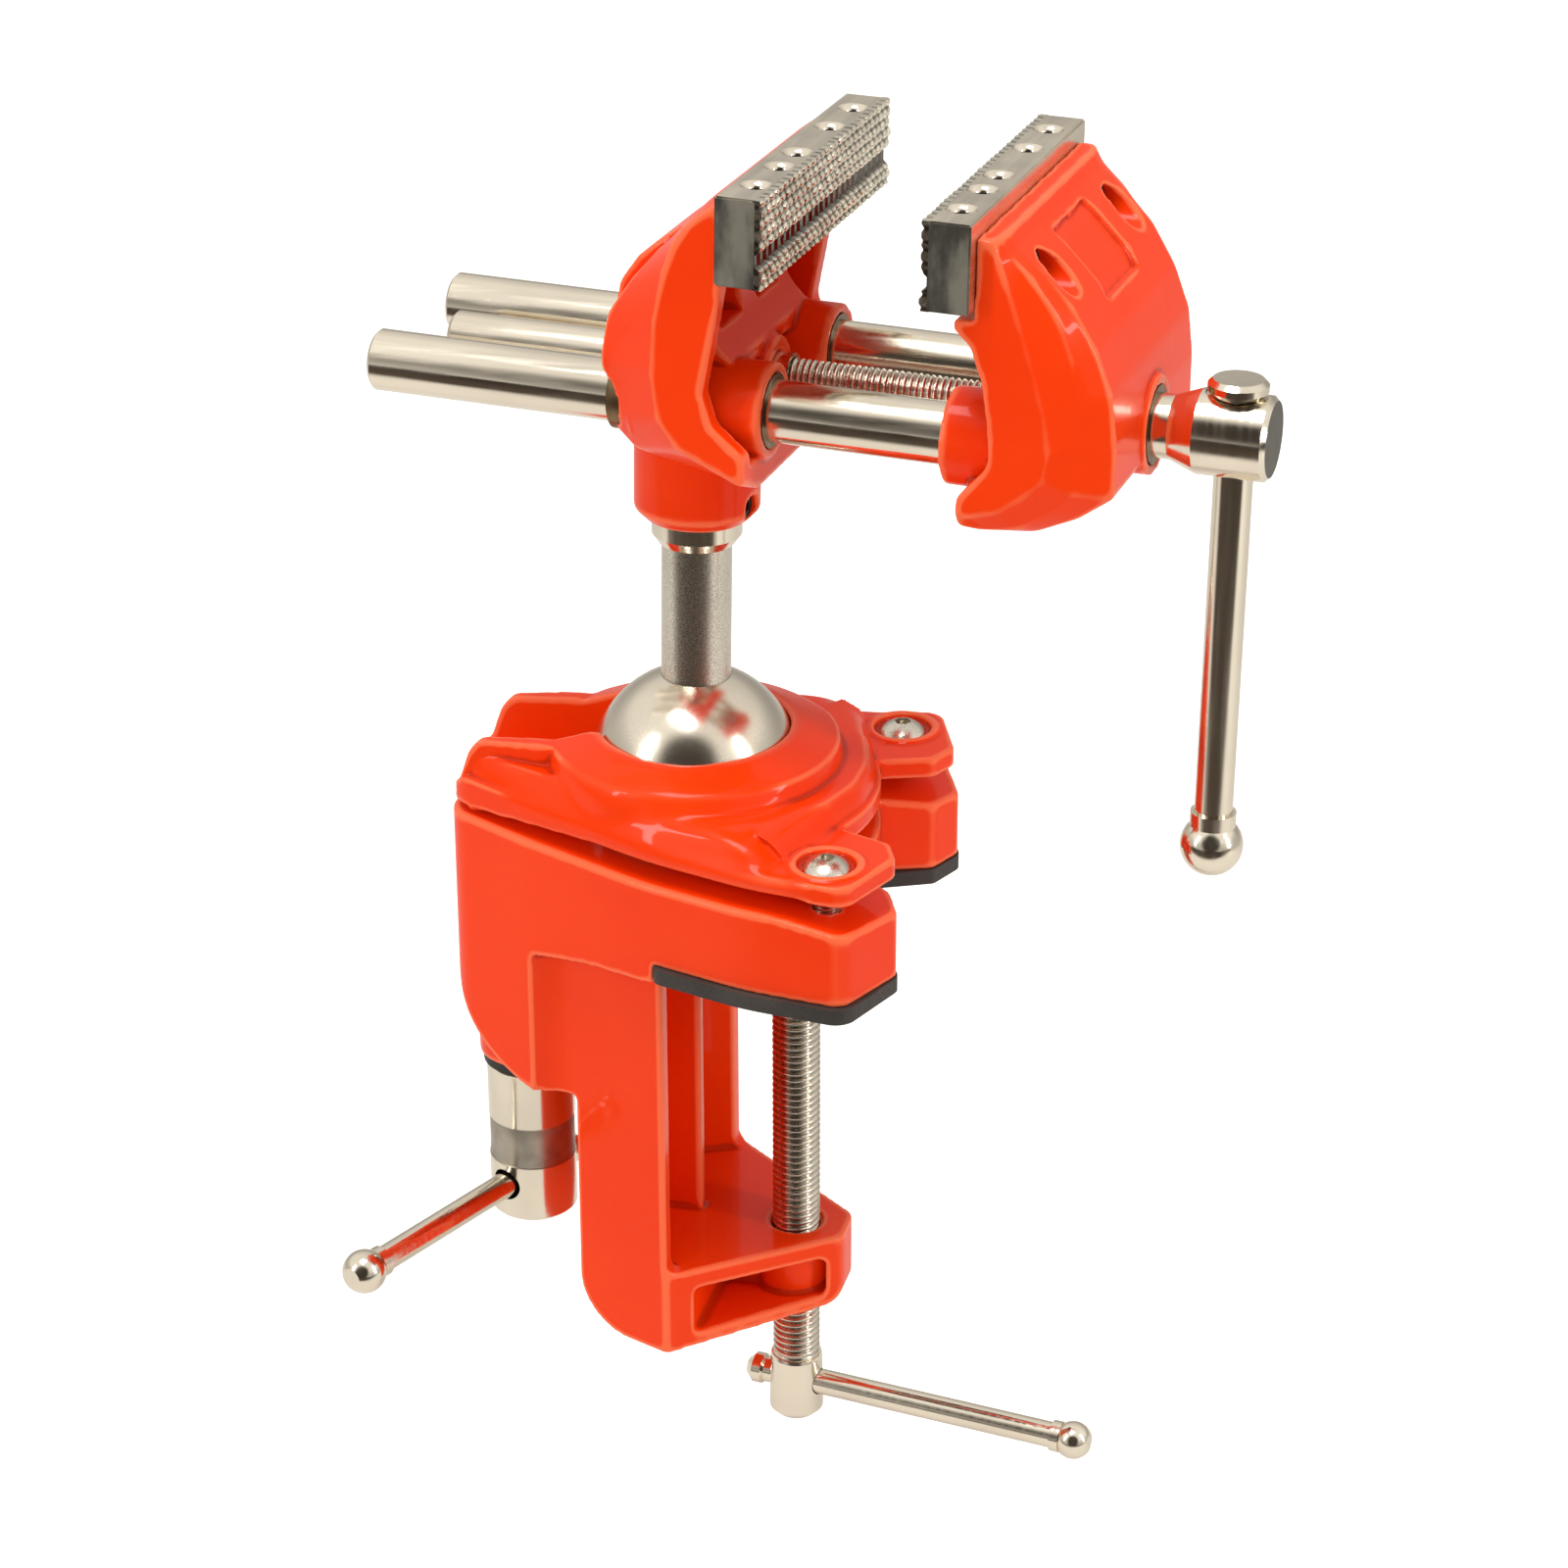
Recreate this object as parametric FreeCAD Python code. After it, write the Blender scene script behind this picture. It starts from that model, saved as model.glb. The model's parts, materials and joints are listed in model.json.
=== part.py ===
"""Clamp-on ball vise: bench clamp, lever-locked ball socket and a two-rod screw vise head.

Millimetres, +Z up. The origin lies on the bench top, under the pads, on the axis of the clamp screw.
+X runs out over the bench towards the prong tips, and +Y to the left of someone who looks along +X.
The vise head is drawn about the ball's centre, with its screw along X, and is then turned on the neck.
"""
import FreeCAD
import Part
import math
import os

V = FreeCAD.Vector
X, Y, Z = V(1, 0, 0), V(0, 1, 0), V(0, 0, 1)

# ---- clearances -------------------------------------------------------------------------------
RUNNING = 0.05          # radial, between a shaft or thread and its bore
SEAT = 0.02             # between faces that are screwed or pressed together
LOOSE = 0.3             # radial, round the lock barrel
BALL_CLEARANCE = 0.15   # between the ball, its cup and the castings

# ---- ball socket ------------------------------------------------------------------------------
BALL_R = 21.0
BALL_X = -21.0          # ball axis, behind the clamp screw
BALL_Z = 31.0           # ball centre above the bench
CUP_WALL = 2.0
CUP_ANGLE = 45.0        # half angle of the cup under the ball, degrees
MOUTH_Z = 8.7           # rim of the lid's mouth above the ball's centre
MOUTH_LIP = 0.8
MOUTH_LAND = 2.0

# ---- base casting -----------------------------------------------------------------------------
REAR_X = -70.0
TIP_X = 27.6            # ends of the two prongs
FRONT_CORNER_X = 20.5
BELLY_X = -22.8
SHOULDER_X = -50.5
REAR_HALF = 12.0        # half widths of the casting, from the rear to the prongs
SHOULDER_HALF = 22.0
BELLY_HALF = 34.4
FLANK_X = 0.0
FLANK_HALF = 41.0
FRONT_HALF = 43.3
TIP_HALF = 27.4
PRONG_INNER_HALF = 19.5
PRONG_ROOT_HALF = 15.5
NOTCH_R = 37.5          # throat between the prongs, about the ball
BASE_TOP_Z = 20.5
BASE_SLOPE_X = 6.0        # from here forward the top falls towards the prongs
BASE_TOP_FRONT = 17.4
BASE_UNDERSIDE = 3.2    # the pads fill the space from here down to the bench
BODY_BOTTOM_Z = -1.1    # lower edge of the wide body, behind the bench edge
CREASE_MID_X = -36.0
CREASE_MID_Z = -2.2
CREASE_REAR_X = -50.0   # where that edge fades out on the flank
CREASE_REAR_Z = -5.2
RECESS_X = -45.0
RECESS_HALF = 19.75
SPINE_FRONT_X = -20.3
SPINE_REAR_X = -41.3
SPINE_FRONT_HALF = 29.5
SPINE_REAR_HALF = 21.2
SPINE_WALL = 4.6
SPINE_BACK_WALL = 5.0
SPINE_RIB = 3.0
SPINE_ROOT_R = 2.5        # where the spine's two walls stand on the foot
TROUGH_TOP_Z = -4.2
RUMP_BOTTOM_Z = -37.5   # underside of the rear body
RUMP_R = 24.0
FOOT_TOP_Z = -73.0
FOOT_BOTTOM_REAR_Z = -91.8
FOOT_BOTTOM_TIP_Z = -89.0
FOOT_TIP_X = 11.2
FOOT_TIP_HALF = 4.8
FOOT_TIP_CORNER = 4.0
FOOT_TOP_WALL = 4.4
FOOT_BOTTOM_WALL = 2.8
FOOT_WINDOW_REAR_X = -15.5
FOOT_WINDOW_TIP_X = 8.0
FOOT_CORE_R = 7.6
FOOT_CORE_WEB = 7.0
FOOT_HOLE_EDGE = 0.8
HEEL_R = 12.0

# ---- pads -------------------------------------------------------------------------------------
PAD_PROUD = 1.3
PAD_TIP_PROUD = 0.3
PAD_INNER_HALF = 14.0

# ---- lid casting ------------------------------------------------------------------------------
LID_BOTTOM_Z = 22.0
LID_EDGE_Z = 28.4       # upper edge of the lid's rim
LID_SKIRT_Z = 24.1      # lower edge of the rim, rising from the rear to here
LID_SKIRT_X = -34.0
LID_INSET = 1.5         # the lid's edge stands back from the base
LID_REAR_EDGE_Z = 25.0  # the rim's upper edge drops to here at its very end
LID_GAP = 0.9           # between the slot's floor and the base
CROWN_INSET = 0.4       # the crown stands back from the rim
CROWN_ROLL = ((1.0, 31.0), (2.1, 32.6), (3.6, 33.6))   # further in, and up, on its rolled edge
CROWN_FRONT_X = 10.5    # where the crown runs out on the prongs
CROWN_WAIST_X = 6.4
CROWN_WAIST_HALF = 33.0
CROWN_FRONT_R = 36.9    # front of the crown over the notch, about the ball
RING_R = 29.1
RING_Z = 37.5
RING_FOOT_R = 29.9
LOBE_TOP_Z = 37.8       # the two narrow lobes beside the slot
LOBE_REAR_Z = 36.7
LOBE_HALF = 13.6
LOBE_REAR_HALF = 11.4
SLOT_HALF = 9.3
SLOT_FLOOR_Z = 23.0
FLOOR_FRONT_X = -47.5
LUG_HALF_X = 6.5
LUG_HALF_Y = 9.0
LUG_BOTTOM_Z = 8.0
LUG_ROOM = 0.8          # around the lug, in the base

# ---- lid bolts (M5 button heads) --------------------------------------------------------------
BOLT_X = 14.4
BOLT_Y = 32.0
BOLT_R = 2.5
BOLT_HEAD_R = 4.75
BOLT_HEAD_H = 2.75
BOLT_SOCKET_R = 1.73
BOLT_SOCKET_DEPTH = 1.6
BOLT_SEAT_Z = 27.6
BOLT_LENGTH = 20.0
BOLT_HOLE_R = 2.85
BOLT_BOSS_R = 7.6
BOLT_BOSS_Z = 29.2
BOLT_RECESS_R = 5.9

# ---- lid lock (M8 stud, barrel, nut and bar) --------------------------------------------------
LOCK_X = -58.0
STUD_R = 4.0
STUD_TOP_Z = 21.5
STUD_BOTTOM_Z = -62.0
BARREL_R = 5.0
BARREL_HALF = 8.6
BARREL_Z = 14.6
LOCK_BOSS_R = 10.5
LOCK_BOSS_BOTTOM_Z = -39.2
STUD_CLEARANCE = 0.4
WASHER_H = 2.2
WASHER_R = 9.8
NUT_R = 9.2
NUT_H = 36.0
NUT_BAND_R = 9.0
NUT_BAND_TOP = 13.5     # below the nut's top face
NUT_BAND_H = 9.5
NUT_EDGE = 0.8
LOCK_BAR_DROP = 27.8    # bar axis below the nut's top face
LOCK_BAR_HOLE_R = 3.5
LOCK_BAR_R = 2.75
LOCK_BAR_REACH = 52.7   # from the nut's axis to the centre of the ball end
LOCK_BAR_BALL_R = 4.6
LOCK_BAR_CAP_R = 3.9
LOCK_BAR_CAP_H = 3.5
LOCK_BAR_AZIMUTH = -113.6

# ---- bench clamp screw (M10) ------------------------------------------------------------------
CLAMP_R = 5.0
CLAMP_FOOT_Z = -9.5     # upper face of the swivel pad
CLAMP_FOOT_R = 12.0
CLAMP_FOOT_H = 5.0
CLAMP_FOOT_BOSS_R = 7.5
CLAMP_FOOT_BOSS_H = 6.0
CLAMP_NOSE_R = 3.6
CLAMP_NOSE_H = 6.5
HUB_TOP_Z = -106.0
HUB_H = 14.8
HUB_R = 5.75
HUB_SPIGOT_R = 3.5
HUB_SPIGOT_LENGTH = 3.0
BAR_END_GAP = 0.15      # between a bar's cap and the piece it stops against
CLAMP_BAR_DROP = 6.6    # bar axis below the hub's top face
CLAMP_BAR_HOLE_R = 2.95
CLAMP_BAR_R = 2.75
CLAMP_BAR_REACH = 63.0
CLAMP_BAR_BALL_R = 4.0
CLAMP_BAR_CAP_R = 3.3
CLAMP_BAR_CAP_H = 5.0
CLAMP_BAR_AZIMUTH = -8.0

# ---- neck -------------------------------------------------------------------------------------
NECK_R = 7.0
NECK_ROOT = 8.0         # how deep the neck sits in the ball, from the ball's centre
COLLAR_R = 9.0
COLLAR_TOP = 53.6       # heights from here on are above the ball's centre
COLLAR_H = 3.2
COLLAR_TAPER = 2.0
NECK_TOP = 70.0
NECK_GROOVE_Z = 57.5
NECK_GROOVE_R = 6.2
NECK_GROOVE_H = 5.6
NECK_BOSS_R = 12.5
NECK_BOSS_EDGE = 2.5
SET_SCREW_R = 2.5
SET_SCREW_LENGTH = 4.5
SET_SCREW_AZIMUTH = -8.0

# ---- vise head --------------------------------------------------------------------------------
HEAD_SWIVEL = -4.6      # rest angle of the head on the neck, degrees
BALL_PITCH = 0.45       # rest angles of the ball in its socket, degrees
BALL_ROLL = -1.9
JAW_LENGTH = 75.0
JAW_H = 17.0
JAW_T = 9.4
JAW_TOP = 131.0
JAW_FACE_X = 26.0       # gripping face of the fixed jaw, from the neck axis
JAW_GAP = 30.0
JAW_GROOVE_DEPTH = 1.1
JAW_GROOVE_DROP = 11.5
JAW_EDGE = 0.9
PEG_R = 1.9
PEG_MOUTH_R = 3.1
PEG_DEPTH = 9.0
PEG_PLACES = (-28.0, -15.0, -5.0, 14.0, 28.0)
PLATE_SCREW_Y = 22.0
PLATE_SCREW_DROP = 11.8  # below the top of the jaws
PLATE_SCREW_R = 2.0
PLATE_SCREW_HEAD_R = 3.5
PLATE_SCREW_HEAD_H = 4.0
PLATE_SCREW_GRIP = 6.0  # length inside the jaw plate
PLATE_SCREW_HEX_R = 1.7
SCREW_WAY = 40.0        # open way behind a counterbored head

ROD_R = 6.0
ROD_Y = 19.1
ROD_Z = 84.6
ROD_TAIL_X = -59.2
ROD_END_X = 82.0
ROD_BEVEL = 0.6
BUSH_R = 7.2
BUSH_LENGTH = 9.0

SCREW_R = 4.0
TUBE_R = 4.9
TUBE_TAIL_X = -51.2
TUBE_FRONT_X = 19.5
TUBE_END_WALL = 2.0
SPINDLE_TAIL_X = -19.0
THRUST_BUSH_R = 7.6
THRUST_BUSH_H = 7.0
COLLAR_SPINDLE_R = 6.2
SPINDLE_COLLAR_H = 3.2
SPINDLE_CONE_H = 5.2
SPINDLE_HEAD_R = 8.2
SPINDLE_HEAD_H = 14.0
SPINDLE_HEAD_EDGE = 0.9
SPINDLE_CLIP_R = 6.4
SPINDLE_CLIP_T = 1.2
SPINDLE_BAR_R = 3.75
SPINDLE_BAR_HOLE_R = 3.95
SPINDLE_BAR_BACK = 6.7  # bar axis past the end of the cone
SPINDLE_BAR_DROP = 84.4  # ball end's centre below the spindle's axis
SPINDLE_BALL_R = 6.2
SPINDLE_CAP_R = 5.8
SPINDLE_CAP_H = 3.2
SPINDLE_CAP_FLAT = 7.9  # spot face under the cap, above the spindle's axis

# fixed jaw casting
FIXED_OUTER_HALF = 34.0
FIXED_BACK_HALF = 24.0
FIXED_HUMP_HALF = 12.0
FIXED_POCKET_HALF = 29.5
FIXED_CORE_HALF = 22.0
FIXED_SEAT_X = JAW_FACE_X - JAW_T
FIXED_FRONT_X = 21.5
FIXED_DROP = 14.4       # underside of the casting below the rods
FIXED_BOSS_FRONT_X = 22.5
FIXED_BOSS_R = 9.2
FIXED_TUBE_BOSS_FRONT_X = 16.5
FIXED_TUBE_BOSS_R = 8.0
FIXED_SCREW_SEAT_X = 12.5
REAR_BUSH_X = -9.0
# moving jaw casting
MOVING_OUTER_HALF = 34.0
MOVING_MIDDLE_HALF = 31.5
MOVING_BACK_HALF = 28.0
MOVING_POCKET_HALF = 29.0
MOVING_SEAT_X = JAW_FACE_X + JAW_GAP + JAW_T
MOVING_TOP_DROP = 3.4   # below the top of the jaws
MOVING_DROP = 14.0
MOVING_BACK_X = 92.0    # face of the exit boss, where the spindle's collar runs
MOVING_BOSS_FRONT_X = 57.6
MOVING_BOSS_R = 9.3
MOVING_SCREW_BOSS_FRONT_X = 62.0
MOVING_EXIT_BOSS_R = 9.6
MOVING_SCREW_SEAT_X = 69.0
ROD_SCREW_X = 73.0
PANEL_HALF = 10.5       # sunk panel high on the moving jaw's back
PANEL_DEPTH = 0.8
PANEL_DROP = 7.5        # below the top of the jaws
PANEL_H = 12.0
PROFILE_RISE = 46.4     # rise from the rods to the jaw tops that the profiles are drawn to


# ---- shape helpers ----------------------------------------------------------------------------
def box(x0, x1, y0, y1, z0, z1):
    return Part.makeBox(x1 - x0, y1 - y0, z1 - z0, V(x0, y0, z0))


def rod(start, direction, r, length):
    return Part.makeCylinder(r, length, start, direction)


def upright(x, y, z0, z1, r):
    return rod(V(x, y, z0), Z, r, z1 - z0)


def along_x(x0, x1, y, z, r):
    return rod(V(x0, y, z), X, r, x1 - x0)


def ball(centre, r):
    return Part.makeSphere(r, centre)


def fuse(shapes):
    joined = shapes[0].multiFuse(shapes[1:]) if len(shapes) > 1 else shapes[0]
    return joined.removeSplitter()


def cut(shape, tools):
    return shape.cut(Part.makeCompound(tools))


def outline(points, plane, level):
    """Closed wire of straight runs with rounded corners. Each point is (a, b) or (a, b, radius)."""
    place = {
        "xy": lambda a, b: V(a, b, level),
        "xz": lambda a, b: V(a, level, b),
        "yz": lambda a, b: V(level, a, b),
    }[plane]
    corners = [place(p[0], p[1]) for p in points]
    edges, start, first = [], None, None
    for i, here in enumerate(corners):
        back = (corners[i - 1] - here).normalize()
        ahead = (corners[(i + 1) % len(corners)] - here).normalize()
        radius = points[i][2] if len(points[i]) > 2 else 0.0
        if radius:
            half = back.getAngle(ahead) / 2
            reach = radius / math.tan(half)
            arrive, leave = here + back * reach, here + ahead * reach
            middle = (back + ahead).normalize() * (radius / math.sin(half) - radius) + here
        else:
            arrive, leave, middle = here, here, None
        if start is None:
            first = arrive
        else:
            edges.append(Part.LineSegment(start, arrive).toShape())
        if middle is not None:
            edges.append(Part.Arc(arrive, middle, leave).toShape())
        start = leave
    edges.append(Part.LineSegment(start, first).toShape())
    return Part.Wire(edges)


def prism(points, plane, low, high):
    axis = {"xy": Z, "xz": Y, "yz": X}[plane]
    return Part.Face(outline(points, plane, low)).extrude(axis * (high - low))


def ruled(points_a, level_a, points_b, level_b, plane):
    wires = [outline(points_a, plane, level_a), outline(points_b, plane, level_b)]
    return Part.makeLoft(wires, True, True)


def mirrored(points):
    """Half an outline, given at +Y from rear to front, closed by its mirror image."""
    return [(p[0], -p[1]) + tuple(p[2:]) for p in reversed(points)] + list(points)


def revolve(points, centre, axis):
    """Solid of revolution. Points are (distance along the axis, radius)."""
    side = Z if abs(axis.z) < 0.5 else X
    corners = [centre + axis * a + side * r for a, r in points]
    return Part.Face(Part.makePolygon(corners + corners[:1])).revolve(centre, axis, 360)


def on_ball(shape):
    """Places a piece drawn about the ball's centre, turned and tilted with the head."""
    placed = shape.copy()
    for axis, angle in ((Z, HEAD_SWIVEL), (Y, BALL_PITCH), (X, BALL_ROLL)):
        placed.rotate(V(0, 0, 0), axis, angle)
    placed.translate(V(BALL_X, 0, BALL_Z))
    return placed


# ---- bars with a ball at one end and a cap at the other ---------------------------------------
def sliding_bar(centre, direction, r, reach, ball_r, cap_start, cap_r, cap_h):
    """Bar, ball end and cap of a tommy bar whose hole is at centre. The ball is at reach."""
    root = ball_r * 0.3
    tail = cap_start + cap_h * 0.7
    bar = rod(centre - direction * tail, direction, r, tail + reach - root)
    knob = ball(centre + direction * reach, ball_r)
    neck = rod(centre + direction * (reach - ball_r * 1.15), direction, r * 1.2, ball_r * 0.5)
    flat = rod(centre + direction * (reach + ball_r * 0.86), direction, ball_r, ball_r)
    knob = cut(fuse([knob, neck]), [flat, rod(centre, direction, r + SEAT, reach - root)])
    edge = cap_h * 0.3
    profile = [(0, 0), (0, cap_r - edge), (edge, cap_r), (cap_h - edge, cap_r),
               (cap_h, cap_r - edge), (cap_h, 0)]
    cap = revolve(profile, centre - direction * cap_start, direction * -1)
    cap = cap.cut(rod(centre - direction * tail, direction, r + SEAT, tail))
    return bar, knob, cap


# ---- base -------------------------------------------------------------------------------------
BALL_AT = V(BALL_X, 0, BALL_Z)
CUP_R = BALL_R + CUP_WALL + BALL_CLEARANCE * 2
NOTCH_ROOT_X = BALL_X + math.sqrt(NOTCH_R ** 2 - PRONG_ROOT_HALF ** 2)
SIDE_RUN = (FLANK_HALF - BELLY_HALF) / (FLANK_X - BELLY_X)
WIDE = 2 * FRONT_HALF      # past either side of the casting
NUT_TOP_Z = LOCK_BOSS_BOTTOM_Z - WASHER_H
FOOT_BOTTOM_SLOPE = (FOOT_BOTTOM_TIP_Z - FOOT_BOTTOM_REAR_Z) / (FOOT_TIP_X - SPINE_FRONT_X)


def body_plate(low, high, inset=0.0):
    """The casting's outline seen from above: narrow at the rear, with two prongs round a notch."""
    half = [
        (REAR_X + inset * 0.1, REAR_HALF - inset * 0.7, 8.0),
        (SHOULDER_X, SHOULDER_HALF - inset, 40.0),
        (BELLY_X, BELLY_HALF - inset, 90.0),
        (FLANK_X, FLANK_HALF - inset, 60.0),
        (FRONT_CORNER_X, FRONT_HALF - inset, 4.0),
        (TIP_X - inset * 0.55, TIP_HALF - inset, 2.5),
        (TIP_X - 3.6, PRONG_INNER_HALF, 2.5),
        (NOTCH_ROOT_X, PRONG_ROOT_HALF),
    ]
    plate = prism(mirrored(half), "xy", low, high)
    slab = box(NOTCH_ROOT_X - 1, TIP_X, -PRONG_ROOT_HALF, PRONG_ROOT_HALF, low, high)
    return plate.fuse(upright(BALL_X, 0, low, high, NOTCH_R).common(slab))


def wide_body():
    """Upper casting, down to the crease on its flanks; behind the crease it runs on into the rump."""
    side = prism([
        (REAR_X, BASE_TOP_Z), (BASE_SLOPE_X, BASE_TOP_Z, 60.0), (TIP_X, BASE_TOP_FRONT),
        (TIP_X, BASE_UNDERSIDE), (SPINE_FRONT_X, BASE_UNDERSIDE), (SPINE_FRONT_X, BODY_BOTTOM_Z),
        (CREASE_MID_X, CREASE_MID_Z, 40.0), (CREASE_REAR_X, CREASE_REAR_Z, 2.0),
        (CREASE_REAR_X, RUMP_BOTTOM_Z), (REAR_X, RUMP_BOTTOM_Z),
    ], "xz", -WIDE, WIDE)
    return body_plate(RUMP_BOTTOM_Z, BASE_TOP_Z).common(side)


def spine_and_foot():
    """Lower casting: the recessed flanks, the spine and the foot that carries the clamp screw."""
    crease_half = SHOULDER_HALF + (CREASE_REAR_X - SHOULDER_X) * (SHOULDER_HALF - REAR_HALF) / (
        SHOULDER_X - REAR_X)
    plan = [
        (CREASE_REAR_X, crease_half - 0.3), (RECESS_X, RECESS_HALF, 8.0),
        (SPINE_REAR_X, SPINE_REAR_HALF), (SPINE_FRONT_X, SPINE_FRONT_HALF, 1.5),
        (FOOT_TIP_X, FOOT_TIP_HALF, FOOT_TIP_CORNER),
    ]
    side = prism([
        (CREASE_REAR_X, BASE_UNDERSIDE), (SPINE_FRONT_X, BASE_UNDERSIDE),
        (SPINE_FRONT_X, FOOT_TOP_Z, SPINE_ROOT_R), (FOOT_TIP_X, FOOT_TOP_Z),
        (FOOT_TIP_X, FOOT_BOTTOM_TIP_Z, 4.0), (SPINE_FRONT_X, FOOT_BOTTOM_REAR_Z, 30.0),
        (SPINE_REAR_X, FOOT_BOTTOM_REAR_Z, HEEL_R), (SPINE_REAR_X, RUMP_BOTTOM_Z),
        (CREASE_REAR_X, RUMP_BOTTOM_Z),
    ], "xz", -WIDE, WIDE)
    return prism(mirrored(plan), "xy", FOOT_BOTTOM_REAR_Z - 1, BASE_UNDERSIDE).common(side)


def rump_corner():
    """What the rounded rump leaves away behind and below."""
    centre = V(REAR_X + RUMP_R, -WIDE, RUMP_BOTTOM_Z + RUMP_R)
    square = box(REAR_X - 1, centre.x, -WIDE, WIDE, RUMP_BOTTOM_Z - 1, centre.z)
    return square.cut(rod(centre, Y, RUMP_R, 2 * WIDE))


def spine_channel():
    """The two troughs of the spine, open to the bench, on either side of the middle rib."""
    trough = prism(mirrored([
        (SPINE_REAR_X + SPINE_BACK_WALL, SPINE_REAR_HALF - SPINE_WALL, 2.0),
        (SPINE_FRONT_X, SPINE_FRONT_HALF - SPINE_WALL),
        (SPINE_FRONT_X + SPINE_ROOT_R, SPINE_FRONT_HALF - SPINE_WALL),
    ]), "xy", FOOT_TOP_Z, TROUGH_TOP_Z)
    rib = box(SPINE_REAR_X, SPINE_FRONT_X, -SPINE_RIB / 2, SPINE_RIB / 2, FOOT_TOP_Z, TROUGH_TOP_Z)
    return trough.cut(rib)


def foot_windows():
    """Pockets in both flanks of the foot, on either side of the core round the clamp screw."""
    def floor(x):
        return FOOT_BOTTOM_REAR_Z + FOOT_BOTTOM_WALL + FOOT_BOTTOM_SLOPE * (x - SPINE_FRONT_X)
    ceiling = FOOT_TOP_Z - FOOT_TOP_WALL
    window = prism([
        (FOOT_WINDOW_REAR_X, ceiling, 1.5), (FOOT_WINDOW_TIP_X, ceiling, 1.5),
        (FOOT_WINDOW_TIP_X, floor(FOOT_WINDOW_TIP_X), 1.5),
        (FOOT_WINDOW_REAR_X, floor(FOOT_WINDOW_REAR_X), 1.5),
    ], "xz", -SPINE_FRONT_HALF, SPINE_FRONT_HALF)
    core = upright(0, 0, FOOT_BOTTOM_REAR_Z, FOOT_TOP_Z, FOOT_CORE_R)
    web = box(SPINE_FRONT_X, 0, -FOOT_CORE_WEB / 2, FOOT_CORE_WEB / 2, FOOT_BOTTOM_REAR_Z, FOOT_TOP_Z)
    return cut(window, [core, web])


def base_casting():
    boss = upright(LOCK_X, 0, LOCK_BOSS_BOTTOM_Z, BODY_BOTTOM_Z, LOCK_BOSS_R)
    casting = fuse([fuse([wide_body(), spine_and_foot()]).cut(rump_corner()), boss])
    lug_x, lug_y = LUG_HALF_X + LUG_ROOM, LUG_HALF_Y + LUG_ROOM
    tools = [
        spine_channel(), foot_windows(),
        ball(BALL_AT, CUP_R),
        box(LOCK_X - lug_x, LOCK_X + lug_x, -lug_y, lug_y, LUG_BOTTOM_Z - LUG_ROOM, BASE_TOP_Z),
        upright(LOCK_X, 0, LOCK_BOSS_BOTTOM_Z, LUG_BOTTOM_Z, STUD_R + STUD_CLEARANCE),
        upright(0, 0, FOOT_BOTTOM_REAR_Z, FOOT_TOP_Z, CLAMP_R + RUNNING),
        upright(0, 0, FOOT_TOP_Z - FOOT_HOLE_EDGE, FOOT_TOP_Z, CLAMP_R + FOOT_HOLE_EDGE),
    ]
    for side in (-1, 1):
        hole_bottom = BOLT_SEAT_Z - BOLT_LENGTH - 1
        tools.append(upright(BOLT_X, side * BOLT_Y, hole_bottom, BASE_TOP_Z, BOLT_R + SEAT))
    return cut(casting, tools)


def pad(side):
    """Rubber pad under one prong, a little proud of the casting along its outer side."""
    rear_x, tip_x = SPINE_FRONT_X + SEAT, TIP_X + PAD_TIP_PROUD
    outer_rear = BELLY_HALF + SIDE_RUN * (rear_x - BELLY_X) + PAD_PROUD
    points = [
        (rear_x, PAD_INNER_HALF), (rear_x, outer_rear, 3.0), (FLANK_X, FLANK_HALF + PAD_PROUD, 60.0),
        (FRONT_CORNER_X + PAD_PROUD / 2, FRONT_HALF + PAD_PROUD, 4.5),
        (tip_x, TIP_HALF, 3.0), (tip_x - 3.6, PRONG_INNER_HALF - PAD_TIP_PROUD, 2.0),
        (NOTCH_ROOT_X, PAD_INNER_HALF),
    ]
    return prism([(p[0], side * p[1]) + tuple(p[2:]) for p in points], "xy", 0, BASE_UNDERSIDE)


# ---- lid --------------------------------------------------------------------------------------
MOUTH_R = math.sqrt((BALL_R + BALL_CLEARANCE) ** 2 - MOUTH_Z ** 2)
MOUTH_TOP_Z = BALL_Z + MOUTH_Z + MOUTH_LIP


CROWN_Z = CROWN_ROLL[-1][1]


def lid_crown():
    """Raised apron from the rim of the lid up to the land round the foot of the ring."""
    prong_run = (FRONT_HALF - FLANK_HALF) / (FRONT_CORNER_X - FLANK_X)

    def level(step, z):
        inset, front_r = LID_INSET + CROWN_INSET + step, CROWN_FRONT_R - 0.6 * step
        front_x = CROWN_FRONT_X - 2.4 * step
        nose = [(BALL_X + front_r * math.cos(a), front_r * math.sin(a)) for a in (0.46, 0.16)]
        return outline(mirrored([
            (REAR_X + 2.7 + 0.6 * step, REAR_HALF - 1.2, 5.0), (SHOULDER_X, SHOULDER_HALF - inset, 30.0),
            (BELLY_X, BELLY_HALF - inset, 50.0),
            (front_x, FLANK_HALF + prong_run * (front_x - FLANK_X) - inset, 5.0),
            (CROWN_WAIST_X - 1.7 * step, CROWN_WAIST_HALF, 6.0), nose[0] + (5.0,), nose[1] + (20.0,),
        ]), "xy", z)
    wires = [level(0.0, LID_SKIRT_Z), level(0.0, LID_EDGE_Z)]
    wires += [level(step, z) for step, z in CROWN_ROLL]
    return Part.makeLoft(wires, True, True)


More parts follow.
